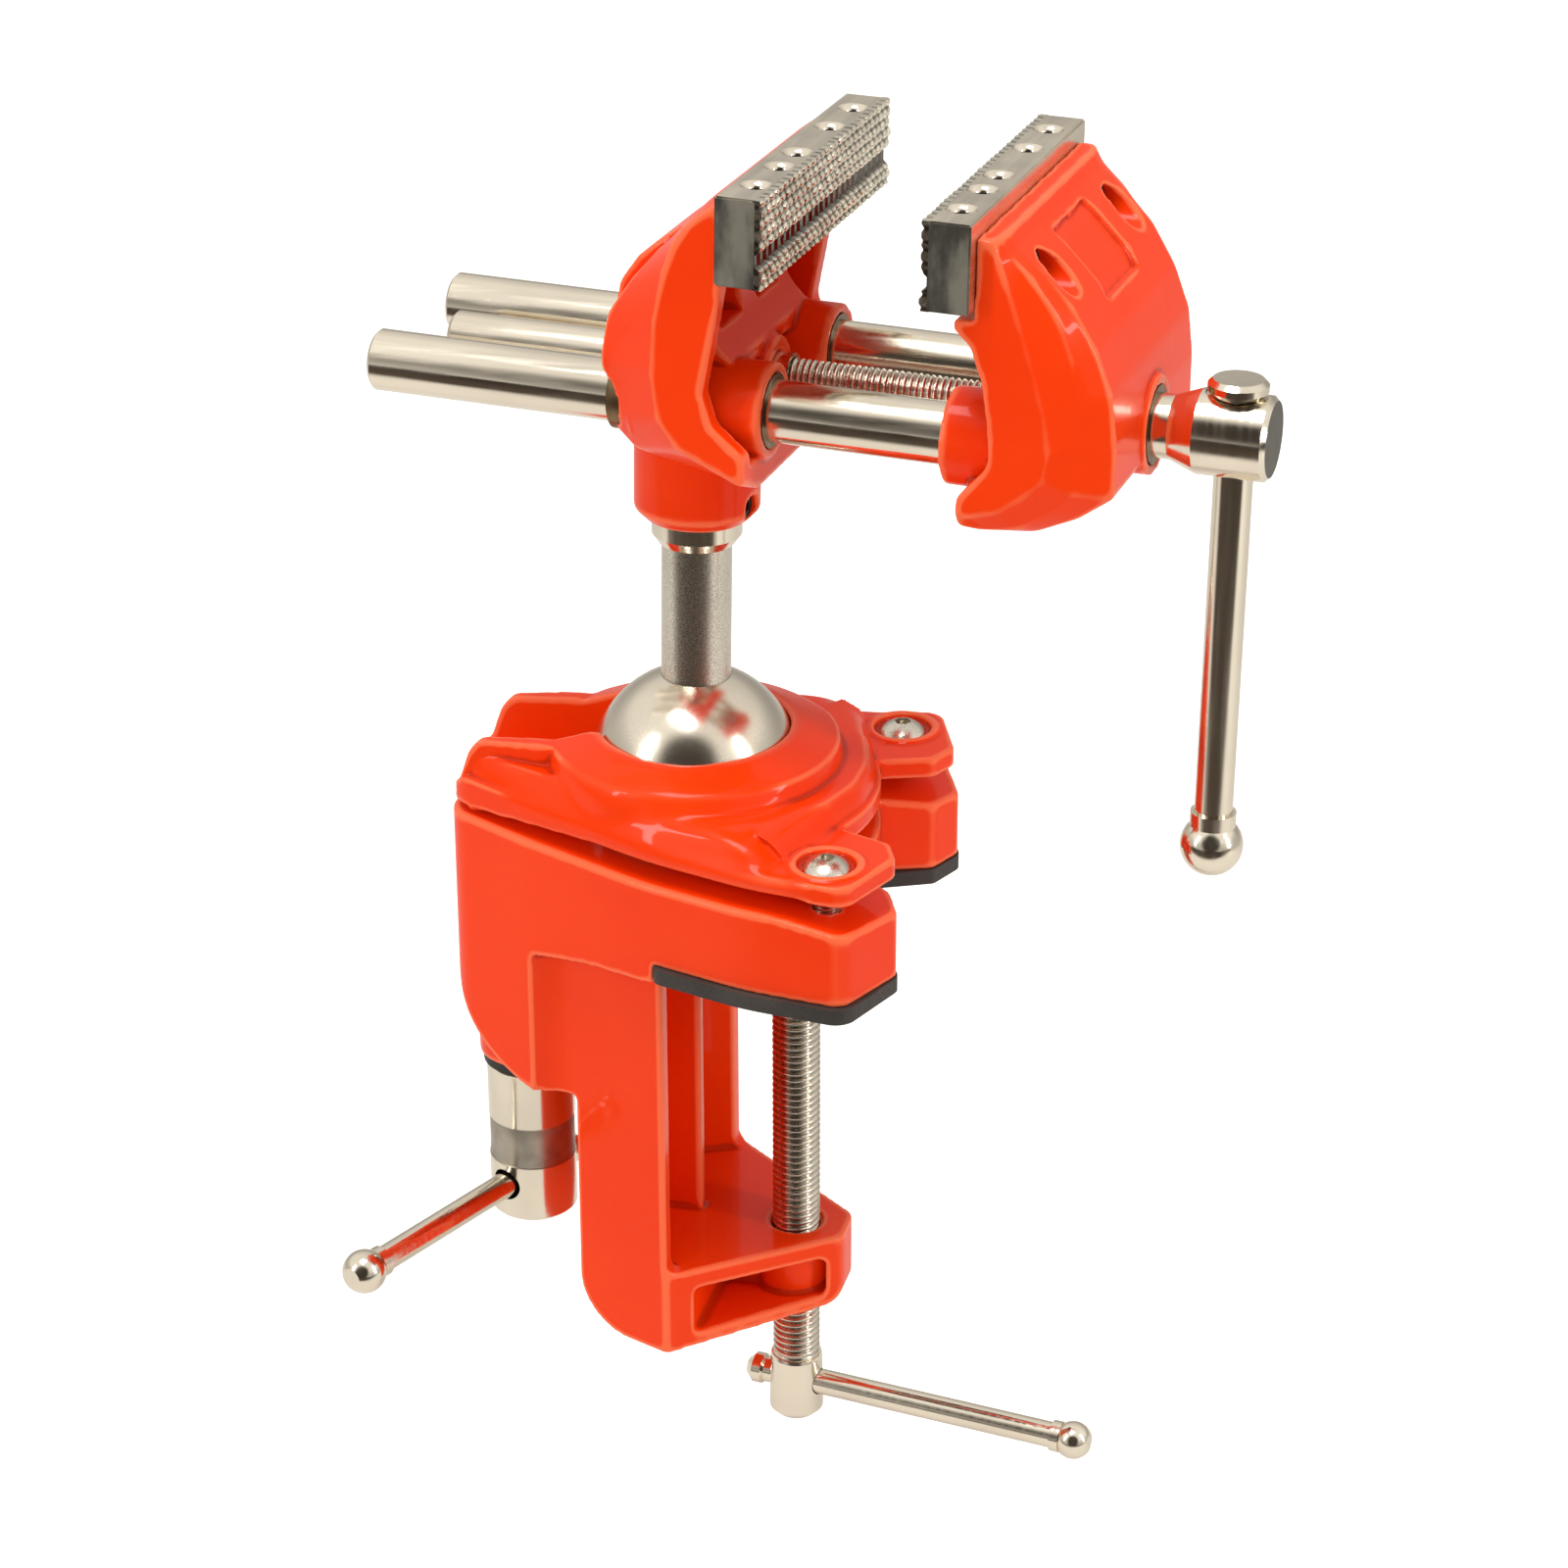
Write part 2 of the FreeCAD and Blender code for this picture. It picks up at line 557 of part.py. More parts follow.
def lid_lobes():
    """The two narrow lobes that flank the slot behind the ball."""
    base_z = LID_SKIRT_Z
    side = prism([
        (REAR_X + 2.0, base_z), (REAR_X + 2.4, LID_EDGE_Z - 1.4), (REAR_X + 4.8, CROWN_Z + 0.5, 6.0),
        (REAR_X + 7.2, LOBE_REAR_Z, 3.0), (BALL_X - RING_R, LOBE_TOP_Z, 30.0), (BALL_X, LOBE_TOP_Z),
        (BALL_X, base_z),
    ], "xz", -WIDE, WIDE)
    plan = prism(mirrored([
        (REAR_X, LOBE_REAR_HALF), (BALL_X - RING_R, LOBE_HALF, 20.0), (BALL_X, LOBE_HALF),
    ]), "xy", base_z, RING_Z + 1)
    rim = body_plate(base_z, RING_Z + 1, LID_INSET + CROWN_INSET)
    return side.common(plan).common(rim)


def lid_casting():
    ring = revolve([
        (LID_SKIRT_Z, 0), (LID_SKIRT_Z, RING_FOOT_R), (CROWN_Z, RING_FOOT_R), (RING_Z, RING_R),
        (MOUTH_TOP_Z, MOUTH_R + MOUTH_LAND), (MOUTH_TOP_Z, 0),
    ], V(BALL_X, 0, 0), Z)
    bosses = [upright(BOLT_X, side * BOLT_Y, LID_SKIRT_Z, BOLT_BOSS_Z, BOLT_BOSS_R) for side in (-1, 1)]
    floor = box(REAR_X + 5, FLOOR_FRONT_X, -LUG_HALF_Y - 4, LUG_HALF_Y + 4, BASE_TOP_Z + LID_GAP, LID_SKIRT_Z)
    lug = box(LOCK_X - LUG_HALF_X, LOCK_X + LUG_HALF_X, -LUG_HALF_Y, LUG_HALF_Y, LUG_BOTTOM_Z, LID_EDGE_Z)
    rim = prism([
        (REAR_X, LID_BOTTOM_Z), (REAR_X, LID_REAR_EDGE_Z), (REAR_X + 3.5, LID_EDGE_Z, 3.0),
        (TIP_X, LID_EDGE_Z), (TIP_X, LID_SKIRT_Z),
        (LID_SKIRT_X, LID_SKIRT_Z, 60.0),
    ], "xz", -WIDE, WIDE)
    plate = body_plate(LID_BOTTOM_Z, LID_EDGE_Z, LID_INSET).common(rim)
    casting = fuse([plate, lid_crown(), lid_lobes(), ring, lug, floor] + bosses)
    tools = [
        ball(BALL_AT, BALL_R + BALL_CLEARANCE),
        upright(BALL_X, 0, LID_BOTTOM_Z, BALL_Z - 1, CUP_R + BALL_CLEARANCE),
        box(REAR_X, FLOOR_FRONT_X, -SLOT_HALF, SLOT_HALF, SLOT_FLOOR_Z, MOUTH_TOP_Z),
        box(FLOOR_FRONT_X, BALL_X, -SLOT_HALF, SLOT_HALF, LID_BOTTOM_Z, MOUTH_TOP_Z),
        upright(BALL_X, 0, BALL_Z + MOUTH_Z, MOUTH_TOP_Z, MOUTH_R),
        rod(V(LOCK_X, -LUG_HALF_Y, BARREL_Z), Y, BARREL_R + LOOSE, LUG_HALF_Y * 2),
        upright(LOCK_X, 0, LUG_BOTTOM_Z, STUD_TOP_Z + STUD_CLEARANCE, STUD_R + STUD_CLEARANCE),
    ]
    for side in (-1, 1):
        tools.append(upright(BOLT_X, side * BOLT_Y, LID_BOTTOM_Z, BOLT_SEAT_Z, BOLT_HOLE_R))
        tools.append(upright(BOLT_X, side * BOLT_Y, BOLT_SEAT_Z, CROWN_Z, BOLT_RECESS_R))
    return cut(casting, tools)


def hexagon(centre, axis, r, depth):
    """Hexagon socket of across-corners radius r, sunk from centre along axis."""
    side = Z if abs(axis.z) < 0.5 else X
    other = axis.cross(side)
    angles = [math.radians(60 * i) for i in range(6)]
    corners = [centre + side * (r * math.cos(a)) + other * (r * math.sin(a)) for a in angles]
    return Part.Face(Part.makePolygon(corners + corners[:1])).extrude(axis * depth)


def lid_bolts():
    bolts = []
    for side in (-1, 1):
        seat = V(BOLT_X, side * BOLT_Y, BOLT_SEAT_Z)
        dome_r = (BOLT_HEAD_R ** 2 + BOLT_HEAD_H ** 2) / (2 * BOLT_HEAD_H) + 0.6
        dome = ball(seat + Z * (BOLT_HEAD_H - dome_r), dome_r)
        head = dome.common(rod(seat + Z * SEAT, Z, BOLT_HEAD_R, BOLT_HEAD_H))
        shank = rod(seat - Z * BOLT_LENGTH, Z, BOLT_R, BOLT_LENGTH + BOLT_HEAD_H / 2)
        socket = hexagon(seat + Z * BOLT_HEAD_H, Z * -1, BOLT_SOCKET_R, BOLT_SOCKET_DEPTH)
        bolts.append(fuse([head, shank]).cut(socket))
    return Part.makeCompound(bolts)


# ---- lid lock ---------------------------------------------------------------------------------
def turned_bar(axis_x, axis_z, azimuth, r, reach, ball_r, cap_start, cap_r, cap_h):
    angle = math.radians(azimuth)
    direction = V(math.cos(angle), math.sin(angle), 0)
    return sliding_bar(V(axis_x, 0, axis_z), direction, r, reach, ball_r, cap_start, cap_r, cap_h)


def cross_hole(axis_x, axis_z, azimuth, r, half_length):
    angle = math.radians(azimuth)
    direction = V(math.cos(angle), math.sin(angle), 0)
    return rod(V(axis_x, 0, axis_z) - direction * half_length, direction, r, half_length * 2)


def lock_washer():
    washer = upright(LOCK_X, 0, NUT_TOP_Z + SEAT, LOCK_BOSS_BOTTOM_Z - SEAT, WASHER_R)
    return washer.cut(upright(LOCK_X, 0, NUT_TOP_Z, LOCK_BOSS_BOTTOM_Z, STUD_R + STUD_CLEARANCE))


def lock_stud():
    return upright(LOCK_X, 0, STUD_BOTTOM_Z, STUD_TOP_Z, STUD_R)


def lock_barrel():
    barrel = rod(V(LOCK_X, -BARREL_HALF, BARREL_Z), Y, BARREL_R, BARREL_HALF * 2)
    return barrel.cut(upright(LOCK_X, 0, BARREL_Z - BARREL_R, BARREL_Z + BARREL_R, STUD_R + SEAT))


def lock_nut():
    band = NUT_BAND_TOP
    low = band + NUT_BAND_H
    nut = revolve([
        (0, 0), (0, NUT_R - NUT_EDGE), (NUT_EDGE, NUT_R), (band, NUT_R), (band, NUT_BAND_R),
        (low, NUT_BAND_R), (low, NUT_R), (NUT_H - NUT_EDGE, NUT_R), (NUT_H, NUT_R - NUT_EDGE), (NUT_H, 0),
    ], V(LOCK_X, 0, NUT_TOP_Z), Z * -1)
    thread = upright(LOCK_X, 0, STUD_BOTTOM_Z - 1, NUT_TOP_Z, STUD_R + RUNNING)
    hole = cross_hole(LOCK_X, NUT_TOP_Z - LOCK_BAR_DROP, LOCK_BAR_AZIMUTH, LOCK_BAR_HOLE_R, NUT_R + 1)
    return cut(nut, [thread, hole])


# ---- bench clamp ------------------------------------------------------------------------------
CLAMP_SHOULDER_Z = CLAMP_FOOT_Z - CLAMP_FOOT_H - CLAMP_FOOT_BOSS_H


def clamp_foot():
    top, under = CLAMP_FOOT_Z, CLAMP_FOOT_Z - CLAMP_FOOT_H
    disc = revolve([
        (0, 0), (0, CLAMP_FOOT_R - 1), (1, CLAMP_FOOT_R), (CLAMP_FOOT_H - 1, CLAMP_FOOT_R),
        (CLAMP_FOOT_H, CLAMP_FOOT_R - 1), (CLAMP_FOOT_H, 0),
    ], V(0, 0, top), Z * -1)
    boss = upright(0, 0, CLAMP_SHOULDER_Z, under, CLAMP_FOOT_BOSS_R)
    socket_top = CLAMP_SHOULDER_Z + CLAMP_NOSE_H + SEAT
    return fuse([disc, boss]).cut(upright(0, 0, CLAMP_SHOULDER_Z, socket_top, CLAMP_NOSE_R + RUNNING))


def clamp_screw():
    shank = upright(0, 0, HUB_TOP_Z, CLAMP_SHOULDER_Z - SEAT, CLAMP_R)
    nose = upright(0, 0, CLAMP_SHOULDER_Z - 1, CLAMP_SHOULDER_Z + CLAMP_NOSE_H, CLAMP_NOSE_R)
    spigot = upright(0, 0, HUB_TOP_Z - HUB_SPIGOT_LENGTH, HUB_TOP_Z, HUB_SPIGOT_R)
    return fuse([shank, nose, spigot])


def clamp_hub():
    hub = revolve([
        (SEAT, 0), (SEAT, HUB_R - 0.4), (0.6, HUB_R - 0.2), (HUB_H - 1.5, HUB_R),
        (HUB_H, HUB_R - 1.5), (HUB_H, 0),
    ], V(0, 0, HUB_TOP_Z), Z * -1)
    bore = upright(0, 0, HUB_TOP_Z - HUB_SPIGOT_LENGTH - SEAT, HUB_TOP_Z, HUB_SPIGOT_R + SEAT)
    hole = cross_hole(0, HUB_TOP_Z - CLAMP_BAR_DROP, CLAMP_BAR_AZIMUTH, CLAMP_BAR_HOLE_R, HUB_R + 1)
    return cut(hub, [bore, hole])


# ---- ball and neck, drawn about the ball's centre ---------------------------------------------
def ball_cup():
    """Spherical liner under the ball, free to roll with it."""
    shell = ball(V(0, 0, 0), CUP_R - BALL_CLEARANCE)
    rim_z = -math.cos(math.radians(CUP_ANGLE)) * BALL_R
    keep = box(-CUP_R, CUP_R, -CUP_R, CUP_R, -CUP_R, rim_z)
    return shell.common(keep).cut(ball(V(0, 0, 0), BALL_R + BALL_CLEARANCE))


def ball_piece():
    return ball(V(0, 0, 0), BALL_R).cut(upright(0, 0, NECK_ROOT - SEAT, BALL_R + 1, NECK_R + SEAT))


def neck():
    low, high = NECK_GROOVE_Z - NECK_GROOVE_H / 2, NECK_GROOVE_Z + NECK_GROOVE_H / 2
    return revolve([
        (NECK_ROOT, 0), (NECK_ROOT, NECK_R), (low, NECK_R), (low, NECK_GROOVE_R),
        (high, NECK_GROOVE_R), (high, NECK_R), (NECK_TOP - 1, NECK_R), (NECK_TOP, NECK_R - 1), (NECK_TOP, 0),
    ], V(0, 0, 0), Z)


def neck_collar():
    flange = COLLAR_TOP - COLLAR_H
    ring = revolve([
        (flange - COLLAR_TAPER, 0), (flange - COLLAR_TAPER, NECK_R + 0.6), (flange, COLLAR_R),
        (COLLAR_TOP, COLLAR_R), (COLLAR_TOP, 0),
    ], V(0, 0, 0), Z)
    return ring.cut(upright(0, 0, flange - COLLAR_TAPER, COLLAR_TOP, NECK_R + SEAT))


def neck_set_screw():
    angle = math.radians(SET_SCREW_AZIMUTH)
    out = V(math.cos(angle), math.sin(angle), 0)
    tip = V(0, 0, NECK_GROOVE_Z) + out * (NECK_GROOVE_R + 2 * RUNNING)
    screw = rod(tip, out, SET_SCREW_R, SET_SCREW_LENGTH)
    return screw.cut(hexagon(tip + out * SET_SCREW_LENGTH, out * -1, SET_SCREW_R * 0.55, 2.0))


# ---- jaw plates and their screws --------------------------------------------------------------
PLATE_SCREW_Z = JAW_TOP - PLATE_SCREW_DROP


def jaw_plate(back_x, face_x):
    """Jaw plate with its long groove, peg sockets in the top edge and tapped holes in the back."""
    toward = 1 if face_x > back_x else -1
    lip = face_x - toward * JAW_EDGE
    groove_z = JAW_TOP - JAW_GROOVE_DROP
    points = [
        (back_x, JAW_TOP), (face_x, JAW_TOP),
        (face_x, groove_z + JAW_GROOVE_DEPTH), (face_x - toward * JAW_GROOVE_DEPTH, groove_z),
        (face_x, groove_z - JAW_GROOVE_DEPTH), (face_x, JAW_TOP - JAW_H + JAW_EDGE),
        (lip, JAW_TOP - JAW_H), (back_x, JAW_TOP - JAW_H),
    ]
    plate = prism(points, "xz", -JAW_LENGTH / 2, JAW_LENGTH / 2)
    peg_x = (back_x + face_x) / 2
    tools = []
    for y in PEG_PLACES:
        tools.append(upright(peg_x, y, JAW_TOP - PEG_DEPTH, JAW_TOP, PEG_R))
        mouth = PEG_MOUTH_R - PEG_R
        tools.append(Part.makeCone(PEG_R, PEG_MOUTH_R, mouth, V(peg_x, y, JAW_TOP - mouth), Z))
    for side in (-1, 1):
        start = V(back_x, side * PLATE_SCREW_Y, PLATE_SCREW_Z)
        tools.append(rod(start, X * toward, PLATE_SCREW_R + SEAT, PLATE_SCREW_GRIP + 0.5))
    return cut(plate, tools)


def plate_screws(seat_x, back_x, toward):
    """Two cap screws whose heads seat at seat_x and which grip the plate behind back_x."""
    screws = []
    for side in (-1, 1):
        seat = V(seat_x, side * PLATE_SCREW_Y, PLATE_SCREW_Z)
        away = X * -toward
        shank = rod(seat, X * toward, PLATE_SCREW_R, abs(back_x - seat_x) + PLATE_SCREW_GRIP)
        head = rod(seat + away * SEAT, away, PLATE_SCREW_HEAD_R, PLATE_SCREW_HEAD_H)
        link = rod(seat + away * 1, X * toward, PLATE_SCREW_R, 2)
        socket = hexagon(seat + away * (PLATE_SCREW_HEAD_H + SEAT), X * toward, PLATE_SCREW_HEX_R, 2.5)
        screws.append(fuse([shank, head, link]).cut(socket))
    return Part.makeCompound(screws)


def plate_screw_holes(seat_x, back_x, toward):
    """Clearance holes and open counterbores for the screws above."""
    holes = []
    for side in (-1, 1):
        seat = V(seat_x, side * PLATE_SCREW_Y, PLATE_SCREW_Z)
        holes.append(rod(seat - X * toward, X * toward, PLATE_SCREW_R + LOOSE, abs(back_x - seat_x) + 2))
        holes.append(rod(seat, X * -toward, PLATE_SCREW_HEAD_R + LOOSE, SCREW_WAY))
    return holes


# ---- fixed jaw --------------------------------------------------------------------------------
FIXED_BOTTOM = ROD_Z - FIXED_DROP
MOVING_TOP = JAW_TOP - MOVING_TOP_DROP
MOVING_BOTTOM = ROD_Z - MOVING_DROP
LIP_Z = JAW_TOP - JAW_H - 2.0


def level(h):
    """Height of a profile point h above the rods. Above them the profiles stretch with the jaws."""
    return ROD_Z + (h if h < 0 else h * (JAW_TOP - ROD_Z) / PROFILE_RISE)


def heights(points):
    return [(p[0], level(p[1])) + tuple(p[2:]) for p in points]


def fixed_jaw_casting():
    seat_x, top = FIXED_SEAT_X - SEAT, JAW_TOP - 0.5
    front = heights([
        (FIXED_FRONT_X, -5.1, 2.0), (15.0, 0.3, 4.0), (13.0, 6.4, 4.0), (14.8, 16.4, 6.0),
    ]) + [(FIXED_SEAT_X, LIP_Z, 2.0)]
    back = [(seat_x, top)] + heights([
        (12.0, 42.4, 1.0), (7.5, 38.0, 4.0), (1.0, 30.9, 8.0), (-4.5, 24.4, 8.0),
        (-9.5, 16.9, 8.0), (-10.9, 8.4, 8.0), (-9.8, -3.6, 4.0), (-3.6, -9.4, 3.0),
    ]) + [(FIXED_FRONT_X, FIXED_BOTTOM, 1.0)] + front
    cheek = [(seat_x, top - 1.5)] + heights([
        (12.6, 41.4, 1.0), (9.7, 39.0, 2.0), (7.4, 35.4, 4.0), (5.5, 29.9, 8.0),
        (3.6, 20.4, 8.0), (3.1, 9.4, 8.0), (4.4, 0.7, 4.0), (8.3, -4.6, 3.0),
    ]) + [(FIXED_FRONT_X, FIXED_BOTTOM + 3.5, 1.0)] + front
    hump = heights([
        (8.0, 36.9), (-4.2, 28.0, 4.0), (-8.0, 24.7, 4.0), (-11.6, 19.4, 6.0), (-13.0, 11.4, 8.0),
        (-12.4, -1.6, 6.0), (-4.0, -11.1, 5.0),
    ]) + [(8.0, FIXED_BOTTOM + 1.0)]
    solids = [
        prism(back, "xz", -FIXED_BACK_HALF, FIXED_BACK_HALF),
        prism(hump, "xz", -FIXED_HUMP_HALF, FIXED_HUMP_HALF),
        revolve([
            (COLLAR_TOP + SEAT, 0), (COLLAR_TOP + SEAT, NECK_BOSS_R - NECK_BOSS_EDGE),
            (COLLAR_TOP + NECK_BOSS_EDGE, NECK_BOSS_R), (FIXED_BOTTOM + 10, NECK_BOSS_R),
            (FIXED_BOTTOM + 10, 0),
        ], V(0, 0, 0), Z),
    ]
    for side in (-1, 1):
        solids.append(ruled(back, side * FIXED_BACK_HALF, cheek, side * FIXED_OUTER_HALF, "xz"))
    casting = fuse(solids)
    pocket_top = LIP_Z - 0.5
    pocket = prism([
        (1.0, level(-6.1), 3.0), (1.0, pocket_top, 3.0), (30.0, pocket_top), (30.0, level(-8.1)),
    ], "xz", -FIXED_POCKET_HALF, FIXED_POCKET_HALF)
    casting = casting.cut(pocket)
    core = [(0.0, level(-6.6)), (0.0, pocket_top + 1), (11.5, pocket_top + 1)] + heights([
        (9.0, 14.4, 10.0), (15.0, 9.0, 1.5), (15.0, 5.9, 1.0), (8.0, 3.4), (8.0, -6.6),
    ])
    ribs = [
        prism(core, "xz", -FIXED_CORE_HALF, FIXED_CORE_HALF),
        along_x(-4.0, FIXED_TUBE_BOSS_FRONT_X, 0, ROD_Z, FIXED_TUBE_BOSS_R),
    ]
    for side in (-1, 1):
        ribs.append(along_x(-4.0, FIXED_BOSS_FRONT_X, side * ROD_Y, ROD_Z, FIXED_BOSS_R))
    casting = fuse([casting] + ribs)
    tools = [
        along_x(-20.0, 30.0, 0, ROD_Z, TUBE_R + SEAT),
        upright(0, 0, COLLAR_TOP, NECK_TOP + 0.5, NECK_R + RUNNING),
    ]
    for side in (-1, 1):
        tools.append(along_x(-20.0, 30.0, side * ROD_Y, ROD_Z, ROD_R + LOOSE))
        tools.append(along_x(FIXED_BOSS_FRONT_X - BUSH_LENGTH, 30.0, side * ROD_Y, ROD_Z, BUSH_R + SEAT))
        tools.append(along_x(-20.0, REAR_BUSH_X + BUSH_LENGTH, side * ROD_Y, ROD_Z, BUSH_R + SEAT))
        low, high = sorted((side * 4.0, side * 16.5))
        tools.append(box(2.5, 20.0, low, high, level(13.9), pocket_top))
    angle = math.radians(SET_SCREW_AZIMUTH)
    out = V(math.cos(angle), math.sin(angle), 0)
    tools.append(rod(V(0, 0, NECK_GROOVE_Z), out, SET_SCREW_R + SEAT, NECK_BOSS_R * 2))
    tools += plate_screw_holes(FIXED_SCREW_SEAT_X, FIXED_SEAT_X, 1)
    return cut(casting, tools)


def rod_bushes():
    bushes = []
    for side in (-1, 1):
        for x in (REAR_BUSH_X, FIXED_BOSS_FRONT_X - BUSH_LENGTH):
            bush = along_x(x, x + BUSH_LENGTH, side * ROD_Y, ROD_Z, BUSH_R)
            bushes.append(bush.cut(along_x(x, x + BUSH_LENGTH, side * ROD_Y, ROD_Z, ROD_R + RUNNING)))
    return Part.makeCompound(bushes)


def nut_tube():
    tube = revolve([
        (0, 0), (0, TUBE_R - 0.8), (0.8, TUBE_R), (TUBE_FRONT_X - TUBE_TAIL_X, TUBE_R),
        (TUBE_FRONT_X - TUBE_TAIL_X, 0),
    ], V(TUBE_TAIL_X, 0, ROD_Z), X)
    return tube.cut(along_x(TUBE_TAIL_X + TUBE_END_WALL, TUBE_FRONT_X, 0, ROD_Z, SCREW_R + RUNNING))


# ---- moving jaw -------------------------------------------------------------------------------
def moving_jaw_casting():
    seat_x = MOVING_SEAT_X + SEAT
    front = heights([
        (63.1, -6.8, 2.0), (69.0, -0.1, 5.0), (68.4, 8.4, 8.0), (67.0, 16.4, 4.0), (64.5, 22.9, 3.0),
        (61.6, 25.4, 0.8),
    ]) + [(61.6, LIP_Z, 0.5), (seat_x, LIP_Z), (seat_x, MOVING_TOP)]
    back = [(62.4, MOVING_BOTTOM + 0.2, 1.5)] + front + [(69.6, MOVING_TOP, 1.0)] + heights([
        (71.2, 40.4, 1.5), (76.0, 36.7, 8.0), (82.2, 30.4, 10.0), (87.0, 22.6, 10.0),
        (90.2, 14.4, 10.0), (91.3, 5.4, 8.0), (91.4, -5.3, 1.5), (84.8, -10.1, 4.0),
    ]) + [(77.0, MOVING_BOTTOM + 0.4, 6.0), (68.0, MOVING_BOTTOM - 0.4, 6.0)]
    middle = [(62.4, MOVING_BOTTOM + 0.9, 1.5)] + front + [(69.2, MOVING_TOP, 1.0)] + heights([
        (70.8, 40.2, 1.5), (75.3, 36.0, 8.0), (80.5, 29.0, 10.0), (83.4, 21.4, 10.0),
        (84.9, 13.4, 10.0), (85.3, 5.4, 8.0), (85.0, -4.1, 1.5), (80.0, -8.4, 4.0),
    ]) + [(74.5, MOVING_BOTTOM + 1.6, 6.0), (67.0, MOVING_BOTTOM + 0.7, 6.0)]
    cheek = [(62.6, MOVING_BOTTOM + 3.2, 1.5)] + front + [(68.5, MOVING_TOP - 0.3, 1.0)] + heights([
        (69.5, 39.7, 1.5), (72.2, 32.4, 8.0), (75.0, 24.4, 10.0), (77.2, 17.4, 10.0),
        (79.2, 10.4, 10.0), (80.2, 3.9, 8.0), (79.2, -1.6, 1.5), (75.2, -5.6, 4.0),
    ]) + [(70.8, MOVING_BOTTOM + 5.4, 6.0), (66.0, MOVING_BOTTOM + 3.9, 6.0)]
    solids = [prism(back, "xz", -MOVING_BACK_HALF, MOVING_BACK_HALF)]
    for side in (-1, 1):
        mid_y, end_y = side * MOVING_MIDDLE_HALF, side * MOVING_OUTER_HALF
        solids.append(ruled(back, side * MOVING_BACK_HALF, middle, mid_y, "xz"))
        solids.append(ruled(middle, mid_y, cheek, end_y, "xz"))
    casting = fuse(solids)
    pocket = prism(heights([
        (50.0, -5.6), (76.0, -5.6, 5.0), (80.0, 11.4, 10.0), (73.0, 24.4, 5.0), (50.0, 24.4),
    ]), "xz", -MOVING_POCKET_HALF, MOVING_POCKET_HALF)
    casting = casting.cut(pocket)
    bosses = [
        along_x(MOVING_SCREW_BOSS_FRONT_X, MOVING_BACK_X, 0, ROD_Z, MOVING_EXIT_BOSS_R),
        box(72.0, 84.0, -MOVING_POCKET_HALF, MOVING_POCKET_HALF, level(-5.6), level(6.4)),
    ]
    for side in (-1, 1):
        bosses.append(along_x(MOVING_BOSS_FRONT_X, ROD_END_X + 3, side * ROD_Y, ROD_Z, MOVING_BOSS_R))
    casting = fuse([casting] + bosses)
    tools = [
        along_x(MOVING_SCREW_BOSS_FRONT_X, MOVING_BACK_X, 0, ROD_Z, SCREW_R + RUNNING),
        along_x(MOVING_BACK_X - THRUST_BUSH_H - SEAT, MOVING_BACK_X, 0, ROD_Z, THRUST_BUSH_R + SEAT),
    ]
    for side in (-1, 1):
        y = side * ROD_Y
        tools.append(along_x(MOVING_BOSS_FRONT_X, ROD_END_X + SEAT, y, ROD_Z, ROD_R + SEAT))
        tools.append(upright(ROD_SCREW_X, y, MOVING_BOTTOM - 5, ROD_Z, SET_SCREW_R + SEAT))
    tools += plate_screw_holes(MOVING_SCREW_SEAT_X, MOVING_SEAT_X, -1)
    skin = prism(back, "xz", -PANEL_HALF, PANEL_HALF)
    inner = skin.copy()
    inner.translate(V(-PANEL_DEPTH, 0, -PANEL_DEPTH * 0.7))
    panel_top = JAW_TOP - PANEL_DROP
    band = box(60.0, 100.0, -PANEL_HALF, PANEL_HALF, panel_top - PANEL_H, panel_top)
    tools.append(skin.cut(inner).common(band))
    return cut(casting, tools)


def guide_rod(side):
    length = ROD_END_X - ROD_TAIL_X
    return revolve([
        (0, 0), (0, ROD_R - ROD_BEVEL), (ROD_BEVEL, ROD_R), (length - ROD_BEVEL, ROD_R),
        (length, ROD_R - ROD_BEVEL), (length, 0),
    ], V(ROD_TAIL_X, side * ROD_Y, ROD_Z), X)


def rod_set_screws():
    screws = []
    for side in (-1, 1):
        top = V(ROD_SCREW_X, side * ROD_Y, ROD_Z - ROD_R - SEAT)
        screw = rod(top, Z * -1, SET_SCREW_R, SET_SCREW_LENGTH)
        screws.append(screw.cut(hexagon(top - Z * SET_SCREW_LENGTH, Z, SET_SCREW_R * 0.55, 2.0)))
    return Part.makeCompound(screws)


def thrust_bush():
    start = MOVING_BACK_X - THRUST_BUSH_H
    bush = along_x(start, MOVING_BACK_X, 0, ROD_Z, THRUST_BUSH_R)
    return bush.cut(along_x(start, MOVING_BACK_X, 0, ROD_Z, SCREW_R + RUNNING))


# ---- spindle ----------------------------------------------------------------------------------
SPINDLE_COLLAR_X = MOVING_BACK_X + SEAT
SPINDLE_HEAD_X = SPINDLE_COLLAR_X + SPINDLE_COLLAR_H + SPINDLE_CONE_H
SPINDLE_BAR_X = SPINDLE_HEAD_X + SPINDLE_BAR_BACK
SPINDLE_NOSE_X = SPINDLE_BAR_X - SPINDLE_BAR_HOLE_R - 1.2


def spindle_screw():
    length = SPINDLE_NOSE_X - SPINDLE_TAIL_X
    return revolve([
        (0, 0), (0, SCREW_R - 1), (1, SCREW_R), (length, SCREW_R), (length, 0),
    ], V(SPINDLE_TAIL_X, 0, ROD_Z), X)


def spindle_clip():
    front = MOVING_SCREW_BOSS_FRONT_X - SEAT - SPINDLE_CLIP_T
    clip = along_x(front, front + SPINDLE_CLIP_T, 0, ROD_Z, SPINDLE_CLIP_R)
    return clip.cut(along_x(front, front + SPINDLE_CLIP_T, 0, ROD_Z, SCREW_R + SEAT))


